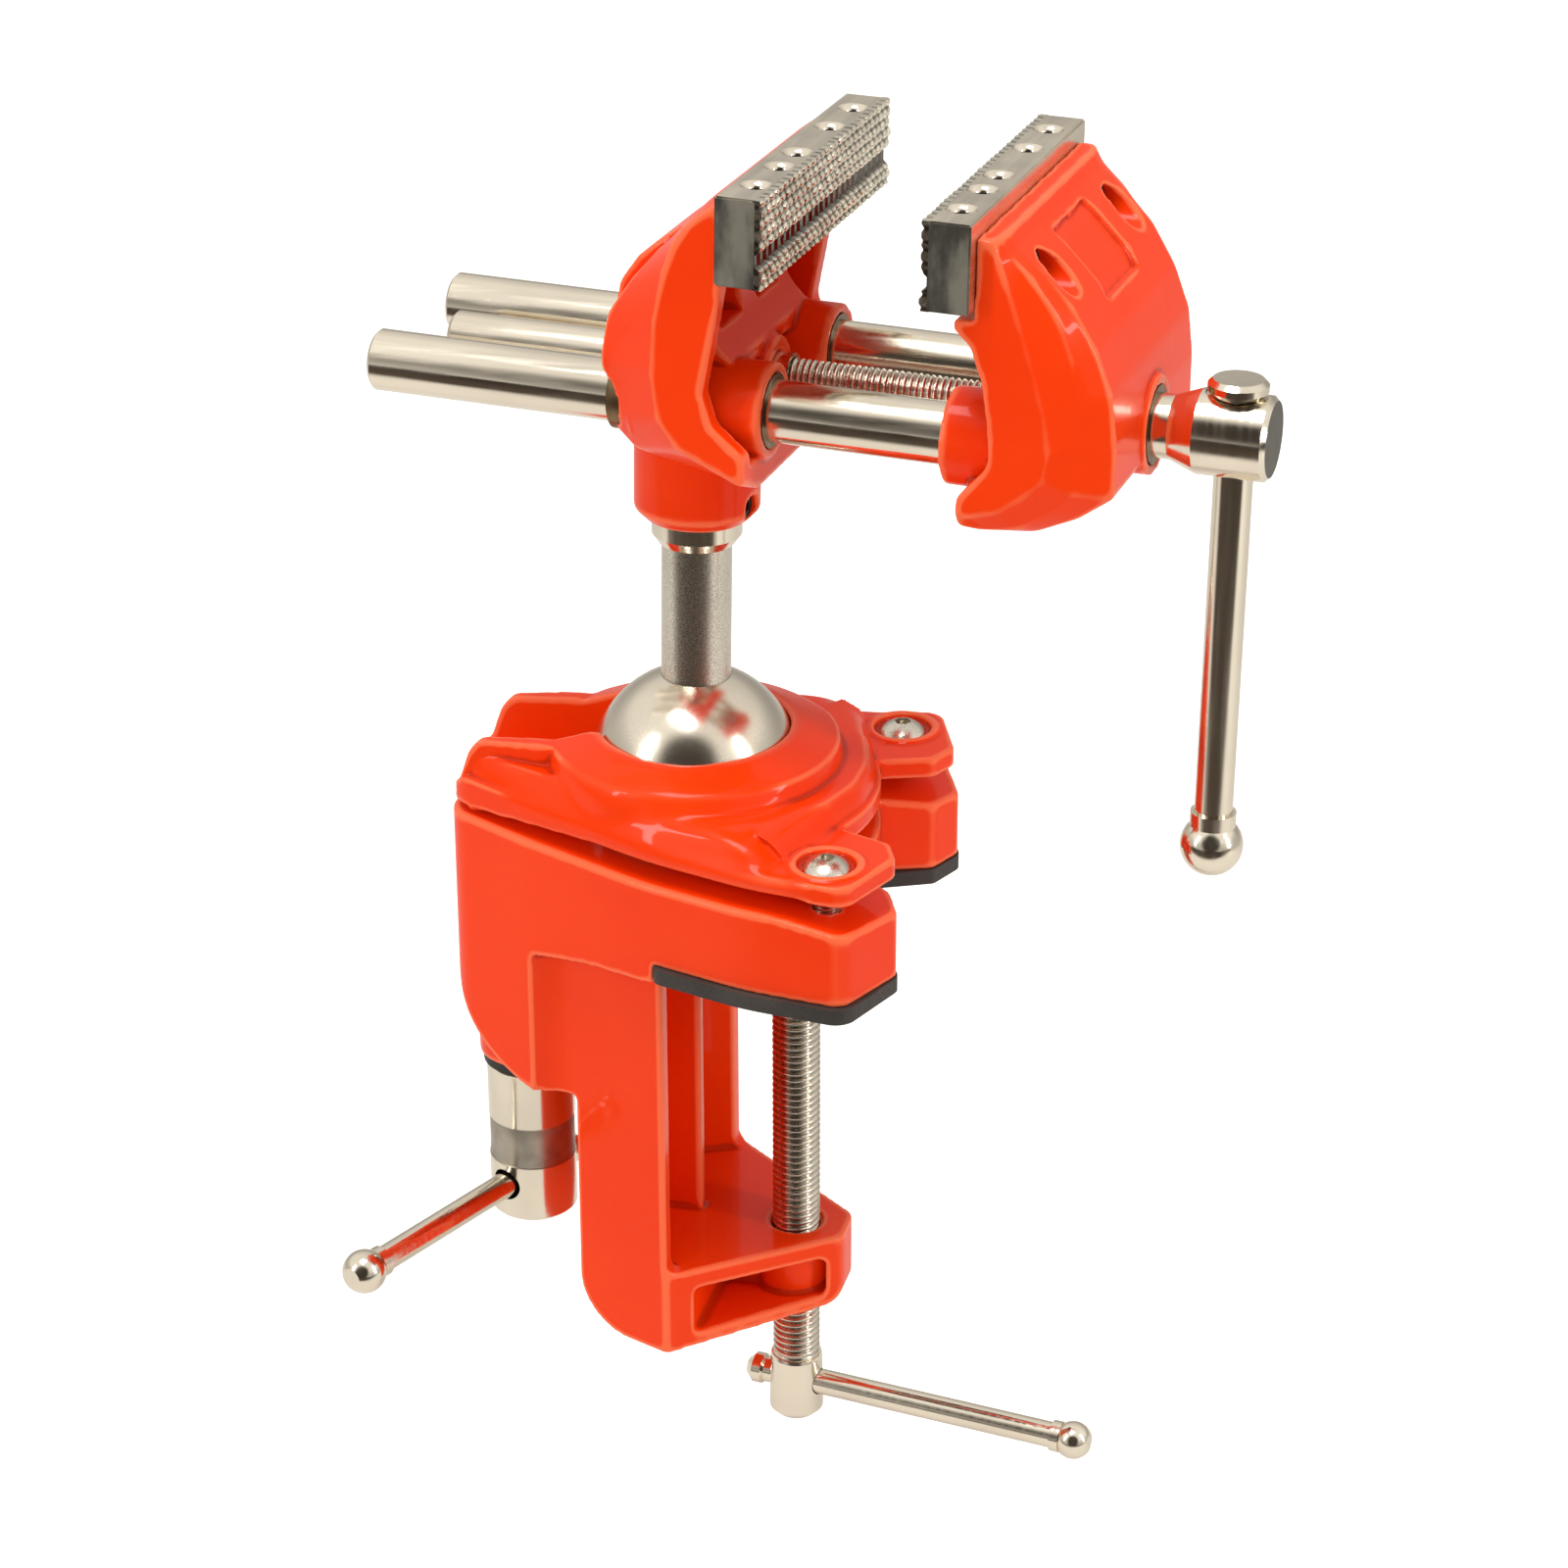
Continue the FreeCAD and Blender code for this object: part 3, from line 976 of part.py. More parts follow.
def spindle_head():
    cone, head = SPINDLE_COLLAR_H, SPINDLE_COLLAR_H + SPINDLE_CONE_H
    end = head + SPINDLE_HEAD_H
    piece = revolve([
        (0, 0), (0, COLLAR_SPINDLE_R), (cone, COLLAR_SPINDLE_R), (head, SPINDLE_HEAD_R),
        (end - SPINDLE_HEAD_EDGE, SPINDLE_HEAD_R), (end, SPINDLE_HEAD_R - SPINDLE_HEAD_EDGE), (end, 0),
    ], V(SPINDLE_COLLAR_X, 0, ROD_Z), X)
    reach = SPINDLE_HEAD_R + 1
    return cut(piece, [
        along_x(SPINDLE_COLLAR_X, SPINDLE_NOSE_X + SEAT, 0, ROD_Z, SCREW_R + SEAT),
        upright(SPINDLE_BAR_X, 0, ROD_Z - reach, ROD_Z + reach, SPINDLE_BAR_HOLE_R),
        upright(SPINDLE_BAR_X, 0, ROD_Z + SPINDLE_CAP_FLAT, ROD_Z + reach, SPINDLE_CAP_R + 0.3),
    ])


# ---- nodes ------------------------------------------------------------------------------------
def bench_nodes():
    lock_bar, lock_ball, lock_cap = turned_bar(
        LOCK_X, NUT_TOP_Z - LOCK_BAR_DROP, LOCK_BAR_AZIMUTH, LOCK_BAR_R, LOCK_BAR_REACH,
        LOCK_BAR_BALL_R, NUT_R + BAR_END_GAP, LOCK_BAR_CAP_R, LOCK_BAR_CAP_H)
    clamp_bar, clamp_ball, clamp_cap = turned_bar(
        0, HUB_TOP_Z - CLAMP_BAR_DROP, CLAMP_BAR_AZIMUTH, CLAMP_BAR_R, CLAMP_BAR_REACH,
        CLAMP_BAR_BALL_R, HUB_R + BAR_END_GAP, CLAMP_BAR_CAP_R, CLAMP_BAR_CAP_H)
    return {
        "base_casting": base_casting(),
        "near_pad": pad(-1),
        "far_pad": pad(1),
        "lid_casting": lid_casting(),
        "lid_bolts": lid_bolts(),
        "lock_washer": lock_washer(),
        "lock_stud": lock_stud(),
        "lock_barrel": lock_barrel(),
        "lock_nut": lock_nut(),
        "lock_bar": lock_bar,
        "lock_bar_ball": lock_ball,
        "lock_bar_cap": lock_cap,
        "clamp_foot": clamp_foot(),
        "clamp_screw": clamp_screw(),
        "clamp_hub": clamp_hub(),
        "clamp_bar": clamp_bar,
        "clamp_bar_ball": clamp_ball,
        "clamp_bar_cap": clamp_cap,
    }


def head_nodes():
    spindle_bar, spindle_ball, spindle_cap = sliding_bar(
        V(SPINDLE_BAR_X, 0, ROD_Z), Z * -1, SPINDLE_BAR_R, SPINDLE_BAR_DROP, SPINDLE_BALL_R,
        SPINDLE_CAP_FLAT + SEAT, SPINDLE_CAP_R, SPINDLE_CAP_H)
    return {
        "ball_cup": ball_cup(),
        "ball": ball_piece(),
        "neck": neck(),
        "neck_collar": neck_collar(),
        "neck_set_screw": neck_set_screw(),
        "fixed_jaw_casting": fixed_jaw_casting(),
        "fixed_jaw_plate": jaw_plate(FIXED_SEAT_X, JAW_FACE_X),
        "fixed_plate_screws": plate_screws(FIXED_SCREW_SEAT_X, FIXED_SEAT_X, 1),
        "rod_bushes": rod_bushes(),
        "nut_tube": nut_tube(),
        "moving_jaw_casting": moving_jaw_casting(),
        "moving_jaw_plate": jaw_plate(MOVING_SEAT_X, JAW_FACE_X + JAW_GAP),
        "moving_plate_screws": plate_screws(MOVING_SCREW_SEAT_X, MOVING_SEAT_X, -1),
        "near_guide_rod": guide_rod(-1),
        "far_guide_rod": guide_rod(1),
        "rod_set_screws": rod_set_screws(),
        "thrust_bush": thrust_bush(),
        "spindle_screw": spindle_screw(),
        "spindle_clip": spindle_clip(),
        "spindle_head": spindle_head(),
        "spindle_bar": spindle_bar,
        "spindle_bar_ball": spindle_ball,
        "spindle_bar_cap": spindle_cap,
    }


def main():
    os.makedirs("parts", exist_ok=True)
    nodes = bench_nodes()
    for name, shape in head_nodes().items():
        nodes[name] = on_ball(shape)
    for name, shape in nodes.items():
        shape.exportStep("parts/" + name + ".step")
        print(name, len(shape.Solids), shape.isValid(), round(shape.Volume))


main()
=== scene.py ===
"""Finishes, threads, knurled jaw faces and studio for a bench-clamped ball vise."""

import json
import math
import random

import bmesh
import bpy
import numpy as np
from bpy.props import FloatProperty, FloatVectorProperty, IntProperty, PointerProperty
from mathutils import Matrix, Vector


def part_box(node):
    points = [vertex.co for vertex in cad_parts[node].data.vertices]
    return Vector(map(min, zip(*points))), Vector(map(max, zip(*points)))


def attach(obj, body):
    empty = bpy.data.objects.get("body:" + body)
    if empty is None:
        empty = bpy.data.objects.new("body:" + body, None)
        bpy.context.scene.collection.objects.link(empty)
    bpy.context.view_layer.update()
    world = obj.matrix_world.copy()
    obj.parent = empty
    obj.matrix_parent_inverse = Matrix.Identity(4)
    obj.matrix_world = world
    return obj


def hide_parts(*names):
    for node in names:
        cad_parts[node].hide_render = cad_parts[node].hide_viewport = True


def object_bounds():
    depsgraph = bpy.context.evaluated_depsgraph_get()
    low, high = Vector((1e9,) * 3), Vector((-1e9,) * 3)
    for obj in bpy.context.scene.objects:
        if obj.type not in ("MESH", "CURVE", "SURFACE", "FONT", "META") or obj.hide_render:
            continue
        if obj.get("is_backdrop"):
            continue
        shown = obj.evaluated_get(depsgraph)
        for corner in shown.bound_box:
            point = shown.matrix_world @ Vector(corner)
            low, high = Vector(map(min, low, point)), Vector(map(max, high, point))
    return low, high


bl_info = {
    "name": "Ball Vise Finish",
    "version": (1, 0, 0),
    "blender": (4, 5, 0),
    "location": "3D View > Sidebar > Ball Vise",
    "description": "Enamel castings, plated bars, threads and knurled jaws of a ball vise",
    "category": "Object",
}

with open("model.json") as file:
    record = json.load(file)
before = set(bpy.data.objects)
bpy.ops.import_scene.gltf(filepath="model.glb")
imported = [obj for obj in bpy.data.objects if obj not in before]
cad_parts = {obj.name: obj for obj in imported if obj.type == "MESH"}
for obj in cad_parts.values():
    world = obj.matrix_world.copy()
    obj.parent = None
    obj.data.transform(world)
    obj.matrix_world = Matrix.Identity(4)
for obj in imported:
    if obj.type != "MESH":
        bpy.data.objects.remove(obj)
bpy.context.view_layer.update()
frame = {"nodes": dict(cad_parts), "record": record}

MM = 0.001
BALL_CENTRE = Vector((-21.0, 0.0, 31.0)) * MM
HEAD_ROLL, HEAD_PITCH, HEAD_SWIVEL = -1.9, 0.45, -4.6
HEAD = (
    Matrix.Translation(BALL_CENTRE)
    @ Matrix.Rotation(math.radians(HEAD_ROLL), 4, "X")
    @ Matrix.Rotation(math.radians(HEAD_PITCH), 4, "Y")
    @ Matrix.Rotation(math.radians(HEAD_SWIVEL), 4, "Z")
)
HEAD_X = HEAD.to_3x3().col[0].normalized()

# Lid bolts and lock nut: places in mm in the frame of the base, the band in metres below the
# top of the nut.
BOLT_X, BOLT_Y = 14.4, 32.0
BOLT_THREAD_Z = 17.6
NUT_BAND = (0.023, 0.0135)

# Jaws and spindle, in mm in the frame of the head, which starts at the centre of the ball.
ROD_Z = 84.6
JAW_LENGTH = 75.0
JAW_TOP = 131.0
JAW_H = 17.0
JAW_T = 9.4
FIXED_FACE_X = 26.0
MOVING_FACE_X = 56.0
EDGE_EASE = 0.35
BLOCK_BACK = 1.55
PEG_PLACES = (-28.0, -15.0, -5.0, 14.0, 28.0)
PEG_R, PEG_DEPTH = 1.9, 9.0
CONE_R, CONE_DEPTH = 3.15, 1.2
PEG_SIDES = 40
CUT_MARGIN = 0.05

# Knurl and its groove: lengths in mm, but ROW_SPACING and POINT_HALF are shares of the pitch,
# POINT_REACH and POINT_SLOPE of that half width, POINT_LEAST and TOOTH_HEIGHT of the height.
# POINT_BULGE is 1 for a pyramid and 2 for a cone. GROOVE_SHADE darkens the groove per mm down.
KNURL_CELL = 0.24
KNURL_INSET = 0.02
KNURL_SKIRT = 1.9
ROW_SPACING = 0.80
FIRST_ROW = 0.5
POINT_STRAY_Y, POINT_STRAY_Z, POINT_LEAST = 0.16, 0.13, 0.72
POINT_HALF, POINT_REACH, POINT_SLOPE = 0.62, 1.05, 0.62
POINT_BULGE = 1.6
GROOVE_DROP, GROOVE_HALF, GROOVE_FLANK, GROOVE_DEPTH = 11.5, 1.9, 0.8, 0.75
TOOTH_PITCH, TOOTH_HALF, TOOTH_LEAN, TOOTH_HEIGHT = 3.2, 0.9, 0.4, 0.55
GROOVE_SHADE = 0.6

# Plated pieces by the axis of their draw marks.
NICKEL_NODES = {
    "Z": ("lock_bar", "lock_bar_ball", "lock_bar_cap", "clamp_hub", "clamp_bar",
          "clamp_bar_ball", "clamp_bar_cap", "spindle_bar", "spindle_bar_ball",
          "spindle_bar_cap", "neck_collar"),
    "X": ("near_guide_rod", "far_guide_rod", "nut_tube"),
}

# Studio: places in metres in the frame of the base, angles in radians. ROOM_LEVELS pairs
# heights in the mirrored room with their brightness. OPENING_RIM and OPENING_CORE are cosines
# of the angle off OPENING_WAY, and the back wall darkens over the Y of the direction.
CAMERA_PLACE = (0.2008, -0.77055, 0.4186)
CAMERA_YAW, CAMERA_PITCH, CAMERA_ROLL = -0.258, 0.455, -0.002
LAMP_AIM = Vector((0.0, 0.0, 0.03))
LAMPS = (  # name, place, size and share of the key lamp's power
    ("top_lamp", (-0.10, -0.20, 1.10), (0.45, 0.45), 1.0),
    ("front_lamp", (-0.80, -0.70, 0.50), (0.08, 0.7), 0.45),
    ("side_lamp", (0.95, -0.20, 0.40), (0.08, 0.7), 0.45),
)
ROOM_LEVELS = ((0.0, 0.62), (0.10, 0.55), (0.30, 0.70), (0.45, 1.0), (0.85, 1.0), (1.0, 0.85))
OPENING_WAY = Vector((0.10, -0.90, 0.42)).normalized()
OPENING_RIM, OPENING_CORE = 0.76, 0.90
BACK_WALL_SHADE = 0.35
BACK_WALL_START, BACK_WALL_END = 0.30, 1.0
FLOOR_RINGS = (6.0, 2.6, 1.2, 0.4)
FLOOR_SIDES = 64
FLOOR_GAP = 0.0005
FLOOR_GLOW = 0.55
DARK_FLOOR_START, DARK_FLOOR_END = -0.24, -0.42


# ---- user settings ----------------------------------------------------------------------------
class BallViseEnamel(bpy.types.PropertyGroup):
    colour: FloatVectorProperty(
        name="Enamel colour", description="Colour of the enamel on the castings",
        subtype="COLOR", size=3, min=0, max=1, default=(0.96, 0.050, 0.002),
    )
    # A second enamel tone that the colour drifts to at random; darkened, it is also the painted
    # shade in the hollows.
    deep_colour: FloatVectorProperty(
        name="Deep enamel", description="Colour where the enamel lies thicker",
        subtype="COLOR", size=3, min=0, max=1, default=(0.91, 0.040, 0.001),
    )
    # Painted highlight: this paler colour is mixed into the enamel over the outer edges, where
    # their rounding catches the light.
    edge_colour: FloatVectorProperty(
        name="Edge enamel", description="Colour where the enamel lies thin over an edge",
        subtype="COLOR", size=3, min=0, max=1, default=(1.0, 0.15, 0.055),
    )
    skin: FloatProperty(
        name="Skin size", description="Cell size of the cast skin; smaller keeps crisper edges",
        subtype="DISTANCE", unit="LENGTH", min=0.0003, max=0.002, default=0.00042,
    )
    fillet_rounds: IntProperty(
        name="Edge rounding", description="How far the cast edges are rounded off",
        min=0, max=40, default=8,
    )


class BallViseMetal(bpy.types.PropertyGroup):
    nickel: FloatVectorProperty(
        name="Nickel plate", description="Colour of the plated parts, the ball and the threads",
        subtype="COLOR", size=3, min=0, max=1, default=(0.84, 0.76, 0.63),
    )
    satin: FloatVectorProperty(
        name="Satin steel", description="Colour of the neck, stud, foot and lid bolts",
        subtype="COLOR", size=3, min=0, max=1, default=(0.72, 0.66, 0.57),
    )
    raw: FloatVectorProperty(
        name="Raw steel", description="Colour of the plate ends and of the spindle head's end",
        subtype="COLOR", size=3, min=0, max=1, default=(0.13, 0.12, 0.095),
    )
    bronze: FloatVectorProperty(
        name="Bronze", description="Colour of the bushes and the ball cup",
        subtype="COLOR", size=3, min=0, max=1, default=(0.26, 0.17, 0.09),
    )
    rubber: FloatVectorProperty(
        name="Rubber", description="Colour of the pads under the prongs",
        subtype="COLOR", size=3, min=0, max=1, default=(0.030, 0.024, 0.020),
    )


class BallViseThreads(bpy.types.PropertyGroup):
    clamp_pitch: FloatProperty(
        name="Clamp thread pitch", description="Distance between the turns of the clamp screw",
        subtype="DISTANCE", unit="LENGTH", min=0.0005, max=0.004, default=0.0015,
    )
    spindle_pitch: FloatProperty(
        name="Spindle thread pitch", description="Distance between the turns of the spindle",
        subtype="DISTANCE", unit="LENGTH", min=0.0005, max=0.004, default=0.00125,
    )
    knurl_pitch: FloatProperty(
        name="Knurl pitch", description="Distance between the points on the jaw faces",
        subtype="DISTANCE", unit="LENGTH", min=0.001, max=0.005, default=0.0026,
    )
    knurl_depth: FloatProperty(
        name="Knurl depth", description="Height of the points on the jaw faces",
        subtype="DISTANCE", unit="LENGTH", min=0.0001, max=0.001, default=0.0007,
    )


class BallViseStudio(bpy.types.PropertyGroup):
    lens: FloatProperty(
        name="Lens", description="Focal length of the camera",
        unit="CAMERA", min=20, max=300, default=101.25,
    )
    lamp_power: FloatProperty(
        name="Key lamp", description="Power of the lamp over the vise; the other two follow it",
        unit="POWER", min=0, max=100, default=6.5,
    )
    surround: FloatProperty(
        name="Surround light", description="Level of the light from all round",
        min=0, max=2, default=0.62,
    )


def settings(name):
    return getattr(bpy.context.scene, "ball_vise_" + name)


# ---- node helpers -----------------------------------------------------------------------------
def add(tree, kind, place, **values):
    """New node with the given input values; names with _ stand for sockets with spaces."""
    made = tree.nodes.new(kind)
    made.location = place
    fill(made, values)
    return made


def fill(node, values):
    for key, value in values.items():
        node.inputs[key.replace("_", " ")].default_value = value


def colour_mix(tree, place, **values):
    made = add(tree, "ShaderNodeMix", place)
    made.data_type = "RGBA"
    fill(made, values)
    return made


def soft_step(tree, source, start, end, place):
    """Mask that rises softly from 0 at start to 1 at end."""
    made = add(tree, "ShaderNodeMapRange", place, From_Min=start, From_Max=end)
    made.interpolation_type = "SMOOTHSTEP"
    tree.links.new(source, made.inputs["Value"])
    return made.outputs["Result"]


def new_group(name, inputs, outputs):
    tree = bpy.data.node_groups.new(name, "ShaderNodeTree")
    for label, kind, value in inputs:
        socket = tree.interface.new_socket(name=label, in_out="INPUT", socket_type=kind)
        socket.default_value = value
    for label, kind in outputs:
        tree.interface.new_socket(name=label, in_out="OUTPUT", socket_type=kind)
    start = add(tree, "NodeGroupInput", (-700, 0))
    end = add(tree, "NodeGroupOutput", (500, 0))
    return tree, start, end


def grain_group():
    """Noise that can be drawn out along an axis, as a mask and a height."""
    found = bpy.data.node_groups.get("Grain")
    if found:
        return found
    tree, start, end = new_group("Grain", [
        ("Vector", "NodeSocketVector", (0, 0, 0)), ("Stretch", "NodeSocketVector", (1, 1, 1)),
        ("Scale", "NodeSocketFloat", 100.0), ("Detail", "NodeSocketFloat", 3.0),
        ("Low", "NodeSocketFloat", 0.3), ("High", "NodeSocketFloat", 0.7),
    ], [("Mask", "NodeSocketFloat"), ("Height", "NodeSocketFloat")])
    drawn = add(tree, "ShaderNodeVectorMath", (-500, 0))
    drawn.operation = "MULTIPLY"
    noise = add(tree, "ShaderNodeTexNoise", (-250, 0))
    spread = add(tree, "ShaderNodeMapRange", (100, 0))
    spread.interpolation_type = "SMOOTHSTEP"
    link = tree.links.new
    link(start.outputs["Vector"], drawn.inputs[0])
    link(start.outputs["Stretch"], drawn.inputs[1])
    link(drawn.outputs[0], noise.inputs["Vector"])
    link(start.outputs["Scale"], noise.inputs["Scale"])
    link(start.outputs["Detail"], noise.inputs["Detail"])
    link(noise.outputs["Fac"], spread.inputs["Value"])
    link(start.outputs["Low"], spread.inputs["From Min"])
    link(start.outputs["High"], spread.inputs["From Max"])
    link(spread.outputs["Result"], end.inputs["Mask"])
    link(noise.outputs["Fac"], end.inputs["Height"])
    return tree


def drift_group():
    """Slow change between two colours over the surface."""
    found = bpy.data.node_groups.get("Colour Drift")
    if found:
        return found
    tree, start, end = new_group("Colour Drift", [
        ("Vector", "NodeSocketVector", (0, 0, 0)), ("Scale", "NodeSocketFloat", 20.0),
        ("Colour A", "NodeSocketColor", (1, 1, 1, 1)),
        ("Colour B", "NodeSocketColor", (0, 0, 0, 1)),
    ], [("Colour", "NodeSocketColor")])
    noise = add(tree, "ShaderNodeTexNoise", (-300, 0), Detail=2.0)
    share = soft_step(tree, noise.outputs["Fac"], 0.25, 0.75, (-50, 0))
    mix = colour_mix(tree, (200, 0))
    link = tree.links.new
    link(start.outputs["Vector"], noise.inputs["Vector"])
    link(start.outputs["Scale"], noise.inputs["Scale"])
    link(share, mix.inputs["Factor"])
    link(start.outputs["Colour A"], mix.inputs["A"])
    link(start.outputs["Colour B"], mix.inputs["B"])
    link(mix.outputs["Result"], end.inputs["Colour"])
    return tree


def facing_group():
    """Mask of the surface that faces along a direction of the piece itself, either way."""
    found = bpy.data.node_groups.get("Facing Side")
    if found:
        return found
    tree, start, end = new_group("Facing Side", [
        ("Normal", "NodeSocketVector", (0, 0, 1)), ("Direction", "NodeSocketVector", (1, 0, 0)),
        ("Low", "NodeSocketFloat", 0.9), ("High", "NodeSocketFloat", 0.97),
    ], [("Mask", "NodeSocketFloat")])
    dot = add(tree, "ShaderNodeVectorMath", (-400, 0))
    dot.operation = "DOT_PRODUCT"
    size = add(tree, "ShaderNodeMath", (-200, 0))
    size.operation = "ABSOLUTE"
    spread = add(tree, "ShaderNodeMapRange", (100, 0))
    link = tree.links.new
    link(start.outputs["Normal"], dot.inputs[0])
    link(start.outputs["Direction"], dot.inputs[1])
    link(dot.outputs["Value"], size.inputs[0])
    link(size.outputs[0], spread.inputs["Value"])
    link(start.outputs["Low"], spread.inputs["From Min"])
    link(start.outputs["High"], spread.inputs["From Max"])
    link(spread.outputs["Result"], end.inputs["Mask"])
    return tree


def place_group(tree, group, place, **values):
    made = add(tree, "ShaderNodeGroup", place)
    made.node_tree = group
    fill(made, values)
    return made


class Finish:
    """A material with its surface shader, object coordinates and shared effects."""

    def __init__(self, name):
        self.material = bpy.data.materials.new(name)
        self.material.use_nodes = True
        self.tree = self.material.node_tree
        self.shader = self.tree.nodes["Principled BSDF"]
        self.place = add(self.tree, "ShaderNodeTexCoord", (-1300, 0))
        self.row = 300

    def set(self, **values):
        fill(self.shader, values)

    def link(self, source, target):
        self.tree.links.new(source, target)

    def feed(self, socket, value):
        """Link a source to the socket, or set a plain value or colour on it."""
        if isinstance(value, bpy.types.NodeSocket):
            self.link(value, socket)
        else:
            socket.default_value = (*value, 1) if socket.type == "RGBA" else value

    def grain(self, scale, low=0.3, high=0.7, stretch=(1, 1, 1), detail=3.0):
        made = place_group(self.tree, grain_group(), (-1050, self.row), Scale=scale, Low=low,
                           High=high, Stretch=stretch, Detail=detail)
        self.row -= 260
        self.link(self.place.outputs["Object"], made.inputs["Vector"])
        return made

    def drift(self, scale, colour_a, colour_b):
        made = place_group(self.tree, drift_group(), (-1050, self.row), Scale=scale,
                           Colour_A=(*colour_a, 1), Colour_B=(*colour_b, 1))
        self.row -= 220
        self.link(self.place.outputs["Object"], made.inputs["Vector"])
        return made.outputs["Colour"]

    def facing(self, direction, low, high):
        made = place_group(self.tree, facing_group(), (-1050, self.row), Low=low, High=high,
                           Direction=tuple(direction))
        self.row -= 220
        self.link(self.place.outputs["Normal"], made.inputs["Normal"])
        return made.outputs["Mask"]

    def stored(self, name):
        """Value stored on the vertices of the mesh under this name."""
        made = add(self.tree, "ShaderNodeAttribute", (-1050, self.row))
        made.attribute_name = name
        self.row -= 200
        return made.outputs["Fac"]

    def standing_out(self, low, high):
        """Mask of the outer edges, or of the hollows where low and high are below 0, in mm."""
        return soft_step(self.tree, self.stored("stands_out"), low, high, (-800, self.row))

    def mix(self, factor, a, b):
        made = colour_mix(self.tree, (-550, self.row))
        self.row -= 200
        self.link(factor, made.inputs["Factor"])
        self.feed(made.inputs["A"], a)
        self.feed(made.inputs["B"], b)
        return made.outputs["Result"]

    def span(self, source, low, high):
        """Value that runs from low to high with a 0 to 1 mask."""
        made = add(self.tree, "ShaderNodeMapRange", (-550, self.row))
        self.row -= 240
        self.link(source, made.inputs["Value"])
        self.feed(made.inputs["To Min"], low)
        self.feed(made.inputs["To Max"], high)
        return made.outputs["Result"]

    def colour(self, source):
        self.link(source, self.shader.inputs["Base Color"])

    def roughness(self, source):
        self.link(source, self.shader.inputs["Roughness"])

    def bump(self, height, strength, distance):
        made = add(self.tree, "ShaderNodeBump", (-250, -300), Strength=strength, Distance=distance)
        self.link(height, made.inputs["Height"])
        self.link(made.outputs["Normal"], self.shader.inputs["Normal"])


def times(colour, share):
    return tuple(c * share for c in colour)


def made_once(build):
    """Each finish is built the first time that a piece asks for it."""
    def finish(*args):
        key = build.__name__.replace("_", " ").capitalize() + "".join(f" {a}" for a in args)
        return bpy.data.materials.get(key) or build(key, *args)
    return finish


@made_once
def enamel(name):
    """Glossy enamel with a painted highlight, a paler colour, over the outer edges and painted
    shade, a darker colour, in the hollows.
    """
    made = Finish(name)
    look = settings("enamel")
    body = made.drift(25, look.colour, look.deep_colour)
    # Painted shade: the hollows darken to 0.62 of the deep colour.
    hollow_painted_shade = made.mix(made.standing_out(-0.04, -0.20), body, times(look.deep_colour, 0.62))
    # Painted highlight: the outer edges turn to the paler highlight colour.
    edges = made.standing_out(0.05, 0.16)
    made.colour(made.mix(edges, hollow_painted_shade, look.edge_colour))
    made.roughness(made.span(edges, 0.30, 0.24))
    made.set(Coat_Weight=0.22, Coat_Roughness=0.04, Specular_IOR_Level=0.08)
    made.bump(made.grain(240, detail=0).outputs["Height"], 0.08, 0.0004)
    return made.material


@made_once
def polished_nickel(name, axis):
    """Plated and polished, with fine draw marks along one axis."""
    made = Finish(name)
    colour = settings("metal").nickel
    stretch = {"X": (0.03, 1, 1), "Z": (1, 1, 0.03)}[axis]
    made.set(Metallic=1.0)
    made.colour(made.drift(45, colour, times(colour, 0.90)))
    marks = made.grain(900, stretch=stretch, detail=4)
    made.roughness(made.span(marks.outputs["Mask"], 0.10, 0.22))
    made.bump(marks.outputs["Height"], 0.05, 0.0002)
    return made.material


@made_once
def banded_nut(name, band_low, band_high):
    """Plated nut with one brushed band turned round it."""
    made = Finish(name)
    colour = settings("metal").nickel
    made.set(Metallic=1.0)
    split = add(made.tree, "ShaderNodeSeparateXYZ", (-1150, -500))
    made.link(made.place.outputs["Object"], split.inputs[0])
    band = add(made.tree, "ShaderNodeMath", (-700, -500))
    band.operation = "MULTIPLY"
    soft = 0.0003
    for i, (level, sign) in enumerate(((band_low, 1), (band_high, -1))):
        edge = add(made.tree, "ShaderNodeMapRange", (-900, -500 - 250 * sign),
                   From_Min=level - sign * soft, From_Max=level + sign * soft)
        made.link(split.outputs["Z"], edge.inputs["Value"])
        made.link(edge.outputs["Result"], band.inputs[i])
    marks = made.grain(700, stretch=(0.06, 0.06, 1), detail=4)
    made.colour(made.mix(band.outputs[0], made.drift(60, colour, times(colour, 0.85)),
                         made.drift(150, times(colour, 0.55), times(colour, 0.33))))
    brushed = made.span(marks.outputs["Mask"], 0.30, 0.48)
    made.roughness(made.span(band.outputs[0], 0.17, brushed))
    made.bump(marks.outputs["Height"], 0.08, 0.0003)
    return made.material


@made_once
def satin_steel(name):
    """Ground steel with a speckled, cloudy surface."""
    made = Finish(name)
    colour = settings("metal").satin
    made.set(Metallic=1.0)
    speckle = made.grain(3600, 0.40, 0.60, detail=5)
    made.colour(made.mix(speckle.outputs["Mask"],
                         made.drift(90, times(colour, 0.84), times(colour, 0.70)), colour))
    made.roughness(made.span(speckle.outputs["Mask"], 0.32, 0.20))
    made.bump(made.grain(2600, stretch=(1, 1, 0.4), detail=4).outputs["Height"], 0.10, 0.0002)
    return made.material


@made_once
def ground_ball(name):
    """Ground ball, smoother than the neck and only lightly clouded."""
    made = Finish(name)
    colour = settings("metal").nickel
    made.set(Metallic=1.0)
    speckle = made.grain(4200, 0.40, 0.62, detail=5)
    cloud = made.drift(70, colour, times(colour, 0.90))
    made.colour(made.mix(speckle.outputs["Mask"], times(colour, 0.88), cloud))
    made.roughness(made.span(speckle.outputs["Mask"], 0.24, 0.17))
    made.bump(speckle.outputs["Height"], 0.06, 0.0001)
    return made.material


